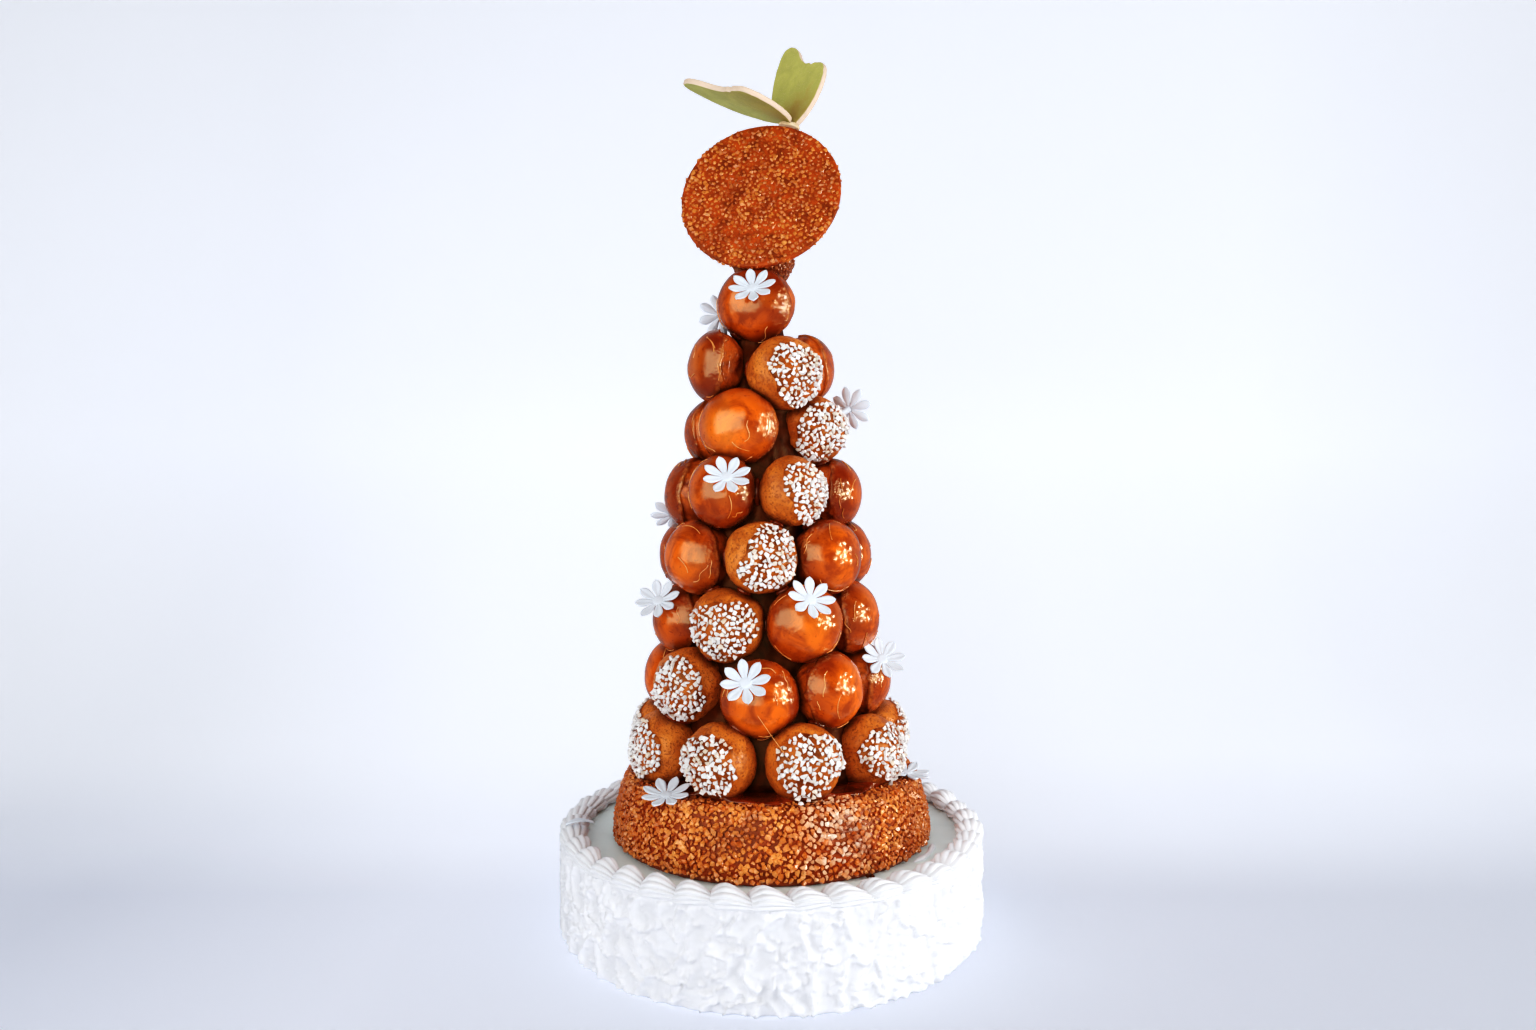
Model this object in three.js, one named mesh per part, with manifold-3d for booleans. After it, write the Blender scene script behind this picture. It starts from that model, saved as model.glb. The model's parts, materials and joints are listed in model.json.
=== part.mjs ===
// Croquembouche: a tower of choux puffs, dipped in caramel or sugar nibs, on a nougatine base that stands on
// an iced drum cake with a piped rope border. A nougatine disc and a gum-paste butterfly crown the tower, and
// gum-paste flowers lie on it. Millimetres, +Z up, the front faces -Y, and the origin is the centre of the
// drum's underside. Azimuths are degrees from the front, positive towards +X.

import * as THREE from 'three';
import { ConvexGeometry } from 'three/addons/geometries/ConvexGeometry.js';
import { mergeVertices } from 'three/addons/utils/BufferGeometryUtils.js';
import Module from 'manifold-3d';

const wasm = await Module();
wasm.setup();

// ---- Driving dimensions -------------------------------------------------------------------------------

const GAP = 0.3; // between pieces that touch

const DRUM = { radius: 117.2, height: 46.5, columns: 64, stroke: 1.5 };
const DRUM_BANDS = [0, 0.05, 0.22, 0.41, 0.6, 0.79, 0.95, 1]; // heights of the icing's rings, as shares

const BORDER = { radius: 108.3, halfWidth: 8.8, height: 8.4, strands: 42, twist: 1.15, crease: 0.3 };

const NOUGATINE = { bottomRadius: 88.8, topRadius: 81.0, height: 34.7, columns: 50, bulge: 2.0, grain: 0.5 };

const PUFF = { depth: 0.88, crag: 0.022, capRise: 1.0, nibRise: 1.7, contact: 0.925 };

// Rings of puffs from the bottom up: ring radius, height of the centres, azimuth of the first puff, mean
// diameter, and the finishes round the ring, where s is sugar nibs and c is caramel.
const TIERS = [
  { ring: 62.0, height: 98.5, start: 17, size: 39.5, finish: 'sssssssss' },
  { ring: 51.6, height: 131.0, start: -4, size: 39.5, finish: 'cccscccs' },
  { ring: 45.5, height: 165.5, start: 26, size: 39.5, finish: 'cccsccs' },
  { ring: 43.5, height: 200.5, start: -2, size: 38.8, finish: 'scccscc' },
  { ring: 38.0, height: 235.2, start: 29, size: 38.8, finish: 'sccscc' },
  { ring: 28.6, height: 270.5, start: -24, size: 39.5, finish: 'cssc' },
  { ring: 27.0, height: 303.0, start: 28, size: 39.5, finish: 'scsc' },
  { ring: 13.0, height: 339.0, start: -5, size: 41.0, finish: 'c' },
];
const LEAN = { low: -2, high: -7 }; // sideways place of the tower's axis at the bottom and the top tier

// Puffs that stand out of line: turn round the ring, rise, turn of the dipped face, depth along that face's
// axis and width across it, as shares of the size.
const OUT_OF_LINE = {
  '1.1': { face: -5 },
  '1.2': { turn: 3, rise: -1, face: -16 },
  '1.8': { face: 0 },
  '1.9': { face: -8 },
  '2.1': { rise: -2, face: 4 },
  '2.2': { turn: -3, rise: 1, face: 12, width: 0.97 },
  '2.8': { turn: -4, face: 27 },
  '3.1': { rise: 1, face: -12 },
  '3.7': { face: 15 },
  '4.1': { face: 22 },
  '4.7': { turn: 1, face: 4 },
  '5.1': { turn: -5, face: 26, width: 0.95 },
  '5.6': { turn: -2, face: 10, width: 0.93 },
  '6.1': { face: 10, width: 1.07 },
  '6.2': { turn: 13, face: -50 },
  '7.1': { rise: -3, face: 0 },
  '7.2': { rise: 4 },
  '7.4': { rise: 2, face: -8, depth: 0.76 },
  '8.1': { face: 0, width: 1.05 },
};

// A nougatine disc stands on edge on the top puff and leans back on a small flared cup.
const DISC = { radius: 45.5, oval: 0.9, ovalAt: 54, thickness: 4.5, x: -6, y: -12, z: 399.8,
  turn: -7.5, lean: 16.1, columns: 36, grain: 0.5 };
const CUP = { x: -5, y: -1.2, z: 356.6, bottomRadius: 14.5, topRadius: 18.4, height: 10.5, dish: 3.5 };

// The butterfly stands on the disc's rim and points away to the left.
const BUTTERFLY = { heading: -141.3, pitch: 16.9, x: 8.8, y: 0, z: 445.2, rootGap: 3.3, thickness: 3 };
const WING_LIFT = { left: 11, right: 72 };
const DAB = { angle: 72, rise: 0.4, length: 13, height: 6.5, width: 5.2 }; // paste under the wings, on the rim

const FLOWER = { radius: 12.6, notch: 4.8, shoulder: 9.0, petals: 8, thickness: 1.1, cup: 2.4, dab: 2.2 };
const PETAL_HALF_WIDTH = 17; // degrees from a petal's middle to its shoulder

// Flowers on puffs: tier, puff, azimuth and elevation on the puff, spin, and how far they stand off it.
const FLOWERS_ON_PUFFS = [
  { puff: '8.1', azimuth: -12, elevation: 15, spin: 0, lift: 1.2 },
  { puff: '8.1', azimuth: -118, elevation: -9, spin: 12, lift: 4 },
  { puff: '6.2', azimuth: 103, elevation: 36, spin: 5, lift: 5.5 },
  { puff: '5.6', azimuth: 1, elevation: 26, spin: 20, lift: 0.5 },
  { puff: '4.6', azimuth: -114, elevation: 46, spin: 8, lift: 4 },
  { puff: '3.1', azimuth: 14, elevation: 46, spin: 10, lift: 0.8 },
  { puff: '3.6', azimuth: -62, elevation: 34, spin: 0, lift: 0.8 },
  { puff: '2.3', azimuth: 54, elevation: 38, spin: 15, lift: 0.8 },
  { puff: '2.1', azimuth: -28, elevation: 31, spin: 5, lift: 0.8 },
  { puff: '2.5', azimuth: 176, elevation: 30, spin: 0, lift: 0.8 },
  { puff: '6.3', azimuth: 160, elevation: 20, spin: 18, lift: 0.8 },
];

// Flowers that lie on the nougatine's rim: distance from the centre, azimuth and tilt outwards.
const LOOSE_FLOWERS = [
  { name: 'flower_rim_left', radius: 79.5, azimuth: -43, tilt: 28, spin: 6 },
  { name: 'flower_rim_right', radius: 78, azimuth: 77.5, tilt: 30, spin: 12 },
  { name: 'flower_rim_back', radius: 79, azimuth: 158, tilt: 24, spin: 10 },
];

// A petal that lies across the border.
const LOOSE_PETAL = { radius: 106.5, azimuth: -76, length: 15, width: 6, thickness: 1.1, bow: 1.6 };

const COLOURS = {
  icing: { color: 0xf2f3f6, roughness: 0.55 },
  nougatine: { color: 0xa84a18, roughness: 0.3 },
  caramel: { color: 0xb5460e, roughness: 0.15 },
  sugar: { color: 0xe9e2da, roughness: 0.6 },
  paste: { color: 0xe6ebf4, roughness: 0.6 },
  wing: { color: 0xa3a54d, roughness: 0.6 },
  dab: { color: 0xe6cdaa, roughness: 0.7 },
};

// ---- Helpers ------------------------------------------------------------------------------------------

const radians = THREE.MathUtils.degToRad;

// Repeatable random numbers from 0 to 1.
function seeded(seed) {
  let state = seed;
  return () => {
    state = (state + 0x6d2b79f5) | 0;
    let mix = Math.imul(state ^ (state >>> 15), 1 | state);
    mix = (mix + Math.imul(mix ^ (mix >>> 7), 61 | mix)) ^ mix;
    return ((mix ^ (mix >>> 14)) >>> 0) / 4294967296;
  };
}

// Unit vector at an azimuth from the front and an elevation above level.
function heading(azimuth, elevation = 0) {
  const level = Math.cos(radians(elevation));
  return new THREE.Vector3(
    Math.sin(radians(azimuth)) * level,
    -Math.cos(radians(azimuth)) * level,
    Math.sin(radians(elevation)),
  );
}

// A point on a level circle about the Z axis.
function round(radius, angle, z) {
  return new THREE.Vector3(radius * Math.cos(angle), radius * Math.sin(angle), z);
}

function geometryFrom(points, faces) {
  const geometry = new THREE.BufferGeometry();
  geometry.setAttribute('position', new THREE.Float32BufferAttribute(points.flatMap((p) => p.toArray()), 3));
  geometry.setIndex(faces);
  geometry.computeVertexNormals();
  return geometry;
}

// Closed skin over level rings that run up the outside. A looped skin goes back to the first ring, as a
// torus does, and any other is closed by a fan at each end.
function skin(rings, looped = false) {
  const count = rings[0].length;
  const points = rings.flat();
  const faces = [];
  const bands = looped ? rings.length : rings.length - 1;
  for (let band = 0; band < bands; band++) {
    const low = band * count;
    const high = ((band + 1) % rings.length) * count;
    for (let i = 0; i < count; i++) {
      const j = (i + 1) % count;
      faces.push(low + i, low + j, high + j, low + i, high + j, high + i);
    }
  }
  if (!looped) {
    const last = (rings.length - 1) * count;
    points.push(middle(rings[0]), middle(rings.at(-1)));
    for (let i = 0; i < count; i++) {
      const j = (i + 1) % count;
      faces.push(points.length - 2, j, i, points.length - 1, last + i, last + j);
    }
  }
  return geometryFrom(points, faces);
}

function middle(ring) {
  return ring.reduce((sum, p) => sum.add(p), new THREE.Vector3()).divideScalar(ring.length);
}

function toSolid(geometry) {
  const bare = geometry.clone();
  bare.deleteAttribute('normal');
  bare.deleteAttribute('uv');
  const merged = mergeVertices(bare, 1e-5);
  const mesh = new wasm.Mesh({
    numProp: 3,
    vertProperties: new Float32Array(merged.attributes.position.array),
    triVerts: new Uint32Array(merged.index.array),
  });
  return new wasm.Manifold(mesh);
}

function fromSolid(solid) {
  const mesh = solid.getMesh();
  const geometry = new THREE.BufferGeometry();
  geometry.setAttribute('position', new THREE.BufferAttribute(new Float32Array(mesh.vertProperties), 3));
  geometry.setIndex(new THREE.BufferAttribute(new Uint32Array(mesh.triVerts), 1));
  geometry.computeVertexNormals();
  return geometry;
}

const croquembouche = new THREE.Group();

function addPiece(name, geometry, finish) {
  const material = new THREE.MeshStandardMaterial({ ...COLOURS[finish], metalness: 0 });
  const mesh = new THREE.Mesh(geometry, material);
  mesh.name = name;
  croquembouche.add(mesh);
  return mesh;
}

// ---- Iced drum and its piped border -------------------------------------------------------------------

// A low cylinder. Its side is icing roughed up with a palette knife: each upright stroke is one column.
function drumGeometry() {
  const random = seeded(11);
  const strokes = Array.from({ length: DRUM.columns }, () => random() - 0.5);
  const rings = DRUM_BANDS.map((share, band) => {
    const edge = band === 0 || band === DRUM_BANDS.length - 1;
    return strokes.map((stroke, column) => {
      const rough = edge ? -DRUM.stroke : DRUM.stroke * (1.3 * stroke + 0.9 * (random() - 0.5));
      return round(DRUM.radius + rough, (2 * Math.PI * column) / DRUM.columns, DRUM.height * share);
    });
  });
  return skin(rings);
}

// A rope of shells piped round the top edge. Each strand starts fat on the inside and slants across the
// rope to a thin tail on the outside of the next. The rings run over the rope's section, and turn a little
// from one to the next, so that the creases slant.
function borderGeometry() {
  const strandShape = [-1, 0.35, 0.75, 0.15]; // crease, rise, crown and fall across one strand
  const columns = BORDER.strands * strandShape.length;
  const pitch = (2 * Math.PI) / BORDER.strands;
  const sectionAngles = [0, 32, 66, 100, 140, 180].map(radians);
  const rings = sectionAngles.map((angle, step) => {
    const flat = step === 0 || step === sectionAngles.length - 1;
    const slant = BORDER.twist * pitch * (0.5 - angle / Math.PI);
    return Array.from({ length: columns }, (_, column) => {
      const swell = 1 + BORDER.crease * strandShape[column % strandShape.length] * (flat ? 0.25 : 0.62);
      const across = BORDER.halfWidth * Math.cos(angle) * (flat ? 1 : swell);
      const up = flat ? 0 : BORDER.height * Math.sin(angle) ** 0.8 * swell;
      const turn = (pitch * column) / strandShape.length + slant;
      return round(BORDER.radius + across, turn, DRUM.height + GAP + up);
    });
  });
  return skin(rings, true);
}

// ---- Nougatine base -----------------------------------------------------------------------------------

const NOUGATINE_FOOT = DRUM.height + GAP;
const NOUGATINE_TOP = NOUGATINE_FOOT + NOUGATINE.height;

// Radius of the nougatine's side at a height given as a share of its own.
function nougatineRadius(share) {
  const cone = THREE.MathUtils.lerp(NOUGATINE.bottomRadius, NOUGATINE.topRadius, share);
  return cone + NOUGATINE.bulge * Math.sin(Math.PI * share);
}

function nougatineGeometry() {
  const random = seeded(23);
  const shares = [0, 0.08, 0.32, 0.56, 0.78, 0.94];
  const ringAt = (radius, z, grain) =>
    Array.from({ length: NOUGATINE.columns }, (_, column) => {
      const rough = grain * 2 * (random() - 0.5);
      return round(radius + rough, (2 * Math.PI * column) / NOUGATINE.columns, z);
    });
  const rings = shares.map((share, step) =>
    ringAt(nougatineRadius(share) - (step === 0 ? 1.2 : 0), NOUGATINE_FOOT + NOUGATINE.height * share,
      NOUGATINE.grain));
  rings.push(ringAt(NOUGATINE.topRadius - 2.6, NOUGATINE_TOP, 0));
  return skin(rings);
}

// ---- Puffs --------------------------------------------------------------------------------------------

function axisX(height) {
  const low = TIERS[0].height;
  return THREE.MathUtils.mapLinear(height, low, TIERS.at(-1).height, LEAN.low, LEAN.high);
}

// Height at which a puff would come to rest on the puffs below it.
function restHeight(centre, size, below) {
  let height = 0;
  for (const other of below) {
    const reach = (PUFF.contact * (size + other.size)) / 2;
    const aside = Math.hypot(centre.x - other.centre.x, centre.y - other.centre.y);
    if (aside < reach) {
      height = Math.max(height, other.centre.z + Math.sqrt(reach ** 2 - aside ** 2));
    }
  }
  return height;
}

function stackPuffs() {
  const random = seeded(5);
  const puffs = [];
  let below = [];
  TIERS.forEach((tier, t) => {
    const ring = [...tier.finish].map((finish, k) => {
      const label = `${t + 1}.${k + 1}`;
      const { turn = 0, rise = 0, face: faceTurn = 24 * (random() - 0.5), depth = PUFF.depth, width = 1 } =
        OUT_OF_LINE[label] ?? {};
      const azimuth = tier.start + (360 * k) / tier.finish.length + turn;
      const size = tier.size * (1 + 0.04 * (random() - 0.5));
      const centre = heading(azimuth).multiplyScalar(tier.ring);
      centre.x += axisX(tier.height);
      centre.z = Math.max(tier.height + rise, restHeight(centre, size, below));
      const face = heading(azimuth + faceTurn, 3 + 8 * (random() - 0.5));
      return { label, name: `choux_t${t + 1}_${k + 1}`, finish, size, depth, width, centre, face, seed: 100 * t + k };
    });
    puffs.push(...ring);
    below = ring;
  });
  return puffs;
}

const PUFFS = stackPuffs();

// Unit points about +Z that the puff's skin is stretched over: [polar angle, points] for each ring. The
// pair at 76 and 84 degrees is the rim of the caramel shell, and nibs fill a cap of their own.
const SHELL_RINGS = [[0, 1], [27, 6], [53, 10], [76, 12]];
const CHOUX_RINGS = [[84, 12], [112, 9], [143, 6], [180, 1]];
const NIB_CAP = { angle: 54, points: 48, rim: [66, 13] };

function ringPoints(rings, random) {
  return rings.flatMap(([polar, count], step) =>
    Array.from({ length: count }, (_, i) => {
      const turn = ((i + 0.5 * (step % 2)) / count) * 360 + 4 * (random() - 0.5);
      return new THREE.Vector3().setFromSphericalCoords(1, radians(polar), radians(turn));
    }));
}

function nibPoints() {
  const golden = Math.PI * (3 - Math.sqrt(5));
  const capHeight = 1 - Math.cos(radians(NIB_CAP.angle));
  return Array.from({ length: NIB_CAP.points }, (_, i) => {
    const polar = Math.acos(1 - (capHeight * (i + 0.5)) / NIB_CAP.points);
    return new THREE.Vector3().setFromSphericalCoords(1, polar, golden * i);
  });
}

// Lowest point of the disc's middle plane, where it stands on the top puff.
function discFoot() {
  const fall = heading(DISC.turn, DISC.lean - 90);
  return fall.multiplyScalar(DISC.radius).add(new THREE.Vector3(DISC.x, DISC.y, DISC.z));
}

// Half-spaces that a puff is pressed flat against: its neighbours, the nougatine below the first tier, and
// the cup and the disc's foot on the top puff. It reaches out to touch a neighbour that is this close.
const GLUED_WITHIN = 1.8;

function pressedFaces(puff) {
  const faces = [];
  for (const other of PUFFS) {
    const away = other.centre.clone().sub(puff.centre);
    const distance = away.length();
    const reachSum = (puff.size + other.size) / 2;
    if (other === puff || distance > 1.2 * reachSum) continue;
    const share = (distance ** 2 + (puff.size ** 2 - other.size ** 2) / 4) / (2 * distance);
    faces.push({
      normal: away.normalize(), reach: share - GAP / 2, glued: distance < reachSum + GLUED_WITHIN,
    });
  }
  if (puff.label.startsWith('1.')) {
    faces.push({ normal: new THREE.Vector3(0, 0, -1), reach: puff.centre.z - NOUGATINE_TOP - GAP });
  }
  if (puff.label === '8.1') {
    const foot = discFoot().sub(puff.centre);
    const seat = foot.length() - 0.14 * DISC.thickness - GAP;
    faces.push({ normal: new THREE.Vector3(0, 0, 1), reach: CUP.z - GAP - puff.centre.z });
    faces.push({ normal: foot.normalize(), reach: seat, glued: true });
  }
  return faces;
}

// Turns +Y to the dipped face's direction and keeps +X level.
function faceTurnOf(face) {
  const across = new THREE.Vector3().crossVectors(face, new THREE.Vector3(0, 0, 1)).normalize();
  const up = new THREE.Vector3().crossVectors(across, face);
  return new THREE.Quaternion().setFromRotationMatrix(new THREE.Matrix4().makeBasis(across, face, up));
}

// Unit points of a puff's skin about +Y, with one at each glued contact in place of those beside it.
function puffPoints(sugared, contacts, random) {
  const cap = sugared ? [...nibPoints(), ...ringPoints([NIB_CAP.rim], random)]
    : ringPoints(SHELL_RINGS, random);
  const points = [...cap, ...ringPoints(CHOUX_RINGS, random)];
  const clear = points.filter((point) => contacts.every((contact) => point.angleTo(contact) > radians(12)));
  return [...clear, ...contacts];
}

// A choux ball, flattened along its dipped face, with a crisp caramel shell or a cap of sugar nibs there.
function puffGeometry(puff) {
  const random = seeded(7 + puff.seed);
  const sugared = puff.finish === 's';
  const waves = Array.from({ length: 5 }, () => ({
    axis: new THREE.Vector3(random() - 0.5, random() - 0.5, random() - 0.5).setLength(3 + 3 * random()),
    phase: 2 * Math.PI * random(),
  }));
  const faces = pressedFaces(puff);
  const toFace = faceTurnOf(puff.face);
  const fromFace = toFace.clone().invert();
  const contacts = faces.filter((face) => face.glued)
    .map((face) => face.normal.clone().applyQuaternion(fromFace));
  const hull = new ConvexGeometry(puffPoints(sugared, contacts, random));
  const unit = mergeVertices(hull.deleteAttribute('normal'), 1e-5);
  const radius = puff.size / 2;
  const position = unit.attributes.position;
  const point = new THREE.Vector3();
  for (let i = 0; i < position.count; i++) {
    point.fromBufferAttribute(position, i).normalize();
    const polar = THREE.MathUtils.radToDeg(Math.acos(THREE.MathUtils.clamp(point.y, -1, 1)));
    const squash = 1 / Math.hypot(point.y / puff.depth, point.x / puff.width, point.z);
    point.applyQuaternion(toFace);
    const crag = waves.reduce((sum, wave) => sum + Math.sin(point.dot(wave.axis) + wave.phase), 0);
    let reach = radius * squash;
    if (sugared && polar < NIB_CAP.angle) reach += 0.3 + PUFF.nibRise * random();
    else if (!sugared && polar < 80) reach += PUFF.capRise;
    else reach += radius * PUFF.crag * crag * 0.5;
    for (const face of faces) {
      if (face.glued && point.dot(face.normal) > 0.9999) reach = Math.max(reach, face.reach);
    }
    for (const face of faces) {
      const towards = point.dot(face.normal);
      if (towards * reach > face.reach) reach = face.reach / towards;
    }
    position.setXYZ(i, ...point.multiplyScalar(reach).toArray());
  }
  unit.computeVertexNormals();
  return unit;
}

// ---- Flowers ------------------------------------------------------------------------------------------

// An eight-petalled flower that faces +Z. Each petal has a notch, two shoulders and a tip, curls up
// towards its tip, and is split alike on both faces. A dab of caramel reaches down from the middle.
function flowerGeometry(dab) {
  const step = 360 / FLOWER.petals;
  const outline = [];
  for (let petal = 0; petal < FLOWER.petals; petal++) {
    const at = (turn, radius) => {
      const rise = FLOWER.cup * (radius / FLOWER.radius) ** 2;
      return round(radius, radians(petal * step + turn), rise);
    };
    outline.push(at(-step / 2, FLOWER.notch), at(-PETAL_HALF_WIDTH, FLOWER.shoulder), at(0, FLOWER.radius),
      at(PETAL_HALF_WIDTH, FLOWER.shoulder));
  }
  const count = outline.length;
  const under = outline.map((p) => p.clone().setZ(p.z - FLOWER.thickness));
  const points = [...outline, ...under, new THREE.Vector3(0, 0, 0.4), new THREE.Vector3(0, 0, -dab)];
  const faces = [];
  for (let i = 0; i < count; i++) {
    const j = (i + 1) % count;
    faces.push(2 * count, i, j, 2 * count + 1, count + j, count + i);
    faces.push(count + i, count + j, j, count + i, j, i);
  }
  return geometryFrom(points, faces);
}

// Turns +Z to a direction, after a spin about +Z.
function facing(direction, spin) {
  const turn = new THREE.Quaternion().setFromUnitVectors(new THREE.Vector3(0, 0, 1), direction);
  return turn.multiply(new THREE.Quaternion().setFromAxisAngle(new THREE.Vector3(0, 0, 1), radians(spin)));
}

function addPuffs() {
  for (const puff of PUFFS) {
    let geometry = puffGeometry(puff);
    for (const flower of FLOWERS_ON_PUFFS.filter((f) => f.puff === puff.label)) {
      const out = heading(flower.azimuth, flower.elevation);
      const seat = puff.size / 2 + flower.lift;
      const bloom = flowerGeometry(FLOWER.dab + flower.lift);
      bloom.applyQuaternion(facing(out, flower.spin)).translate(...out.clone().multiplyScalar(seat).toArray());
      geometry = fromSolid(toSolid(geometry).add(toSolid(bloom)));
    }
    const mesh = addPiece(puff.name, geometry, puff.finish === 's' ? 'sugar' : 'caramel');
    mesh.position.copy(puff.centre);
  }
}

function addLooseFlowers() {
  for (const flower of LOOSE_FLOWERS) {
    const mesh = addPiece(flower.name, flowerGeometry(FLOWER.thickness), 'paste');
    mesh.quaternion.copy(facing(heading(flower.azimuth, 90 - flower.tilt), flower.spin));
    mesh.position.copy(heading(flower.azimuth).multiplyScalar(flower.radius));
    mesh.position.z = NOUGATINE_TOP + FLOWER.thickness + GAP;
  }
}

// A pointed leaf shape, bowed up in the middle and split alike on both faces.
function addLoosePetal() {
  const { radius, azimuth, length, width, thickness, bow } = LOOSE_PETAL;
  const shares = [-0.5, -0.3, 0, 0.3, 0.5];
  const edge = [...shares, ...shares.slice(1, -1).reverse()];
  const top = edge.map((share, i) => {
    const side = i < shares.length ? -1 : 1;
    const half = Math.cos(Math.PI * share) ** 0.7 * (width / 2);
    return new THREE.Vector3(length * share, side * half, bow * (1 - 4 * share ** 2));
  });
  const geometry = skin([top.map((p) => p.clone().setZ(p.z - thickness)), top]);
  const mesh = addPiece('loose_petal', geometry, 'paste');
  mesh.rotation.z = radians(azimuth - 90);
  mesh.position.copy(heading(azimuth).multiplyScalar(radius));
  mesh.position.z = DRUM.height + 2 * GAP + BORDER.height * 1.16;
}

// ---- Disc, cup and butterfly --------------------------------------------------------------------------

const DISC_FACE = heading(DISC.turn, DISC.lean);
const DISC_SIDE = new THREE.Vector3(0, 0, 1).cross(DISC_FACE).normalize();
const DISC_UP = DISC_FACE.clone().cross(DISC_SIDE);
const DISC_FRAME = new THREE.Matrix4().makeBasis(DISC_SIDE, DISC_UP, DISC_FACE)
  .setPosition(DISC.x, DISC.y, DISC.z);

function discRadius(angle) {
  return DISC.radius + DISC.oval * Math.cos(2 * (angle - radians(DISC.ovalAt)));
}

// The disc lies level here, facing +Z, with a slightly oval, grainy outline. The margin grows it.
function discGeometry(margin = 0) {
  const random = seeded(31);
  const rough = (amount) => amount * 2 * (random() - 0.5);
  const ringAt = (share, z, grain) =>
    Array.from({ length: DISC.columns }, (_, column) => {
      const angle = (2 * Math.PI * column) / DISC.columns;
      return round(discRadius(angle) * share + margin + rough(grain), angle, z + rough(grain / 2));
    });
  const half = DISC.thickness / 2 + margin;
  return skin([
    ringAt(0.98, -half, 0.2), ringAt(1, 0.6 - half, DISC.grain), ringAt(1, half - 0.6, DISC.grain),
    ringAt(0.97, half, 0.2), ringAt(0.6, half + 0.2, DISC.grain),
  ]);
}

function addDisc() {
  const mesh = addPiece('nougatine_disc', discGeometry(), 'nougatine');
  mesh.quaternion.setFromRotationMatrix(DISC_FRAME);
  mesh.position.setFromMatrixPosition(DISC_FRAME);
}

// A small flared cup with a dished top, which the disc leans on from the front.
function addCup() {
  const { bottomRadius, topRadius, height, dish } = CUP;
  const profile = [[0, 0], [bottomRadius - 1, 0], [bottomRadius, 0.9], [topRadius, height - 0.8],
    [topRadius - 0.9, height], [topRadius * 0.72, height - dish * 0.7], [0, height - dish]];
  const geometry = new THREE.LatheGeometry(profile.map(([r, z]) => new THREE.Vector2(r, z)), 14);
  const mesh = addPiece('nougatine_cup', geometry.rotateX(Math.PI / 2), 'nougatine');
  mesh.position.set(CUP.x, CUP.y, CUP.z);
}

// Outline of one wing: x runs out from the body and y runs towards the head.
function wingOutline(grow) {
  const shape = new THREE.Shape();
  shape.moveTo(-1, -2);
  shape.quadraticCurveTo(6, -9, 16, -10);
  shape.quadraticCurveTo(27, -11, 33, -5);
  shape.quadraticCurveTo(37, 2, 35, 12);
  shape.quadraticCurveTo(37, 19, 43, 27);
  shape.quadraticCurveTo(48.5, 34, 49.5, 39);
  shape.lineTo(47.5, 41);
  shape.quadraticCurveTo(28, 40, 14, 31);
  shape.quadraticCurveTo(2, 21, -2, 8);
  const points = shape.getPoints(3);
  const centre = new THREE.Vector2(24, 12);
  return new THREE.Shape(points.map((p) => p.clone().sub(centre).multiplyScalar(grow).add(centre)));
}

const BODY_AXIS = heading(BUTTERFLY.heading, BUTTERFLY.pitch);

// Geometry of a wing in place, seen face and all, grown by a margin where a piece is cut round it.
function wingGeometry(side, lift, margin = 0) {
  const across = new THREE.Vector3().crossVectors(BODY_AXIS, new THREE.Vector3(0, 0, 1)).normalize();
  const up = new THREE.Vector3().crossVectors(across, BODY_AXIS);
  const out = across.clone().multiplyScalar(side * Math.cos(radians(lift)))
    .addScaledVector(up, Math.sin(radians(lift)));
  const face = new THREE.Vector3().crossVectors(out, BODY_AXIS);
  const plate = new THREE.ExtrudeGeometry(wingOutline(1 + margin / 20), {
    depth: BUTTERFLY.thickness + 2 * margin, bevelEnabled: false,
  });
  plate.translate(0, 0, -BUTTERFLY.thickness - margin);
  plate.applyMatrix4(new THREE.Matrix4().makeBasis(out, BODY_AXIS, face));
  const shift = side > 0 ? BUTTERFLY.rootGap : 0;
  return plate.translate(BUTTERFLY.x + shift, BUTTERFLY.y, BUTTERFLY.z);
}

// The two wings and, between them and the disc's rim, the dab of paste that holds them there.
function addButterfly() {
  const wings = [['wing_left', -1, WING_LIFT.left], ['wing_right', 1, WING_LIFT.right]];
  const angle = radians(DAB.angle);
  const seat = round(discRadius(angle) + DAB.rise, angle, 0);
  const ball = new THREE.SphereGeometry(1, 9, 6).scale(DAB.height / 2, DAB.length / 2, DAB.width / 2);
  ball.rotateZ(angle).translate(...seat.toArray()).applyMatrix4(DISC_FRAME);
  let dab = toSolid(ball).subtract(toSolid(discGeometry(GAP).applyMatrix4(DISC_FRAME)));
  for (const [name, side, lift] of wings) {
    addPiece(name, wingGeometry(side, lift), 'wing');
    dab = dab.subtract(toSolid(wingGeometry(side, lift, GAP)));
  }
  const largest = dab.decompose().sort((a, b) => b.volume() - a.volume())[0];
  addPiece('butterfly_dab', fromSolid(largest), 'dab');
}

// ---- Assembly -----------------------------------------------------------------------------------------

addPiece('iced_drum', drumGeometry(), 'icing');
addPiece('piped_border', borderGeometry(), 'icing');
addPiece('nougatine_base', nougatineGeometry(), 'nougatine');
addPuffs();
addLooseFlowers();
addLoosePetal();
addDisc();
addCup();
addButterfly();

export default croquembouche;
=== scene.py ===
"""Croquembouche: the looks of a tower of choux puffs on a nougatine base and an iced drum.

Sizes are millimetres until a mesh is made, +Z is up and the front faces -Y. Azimuths are degrees from the
front, positive towards +X.
"""

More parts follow.
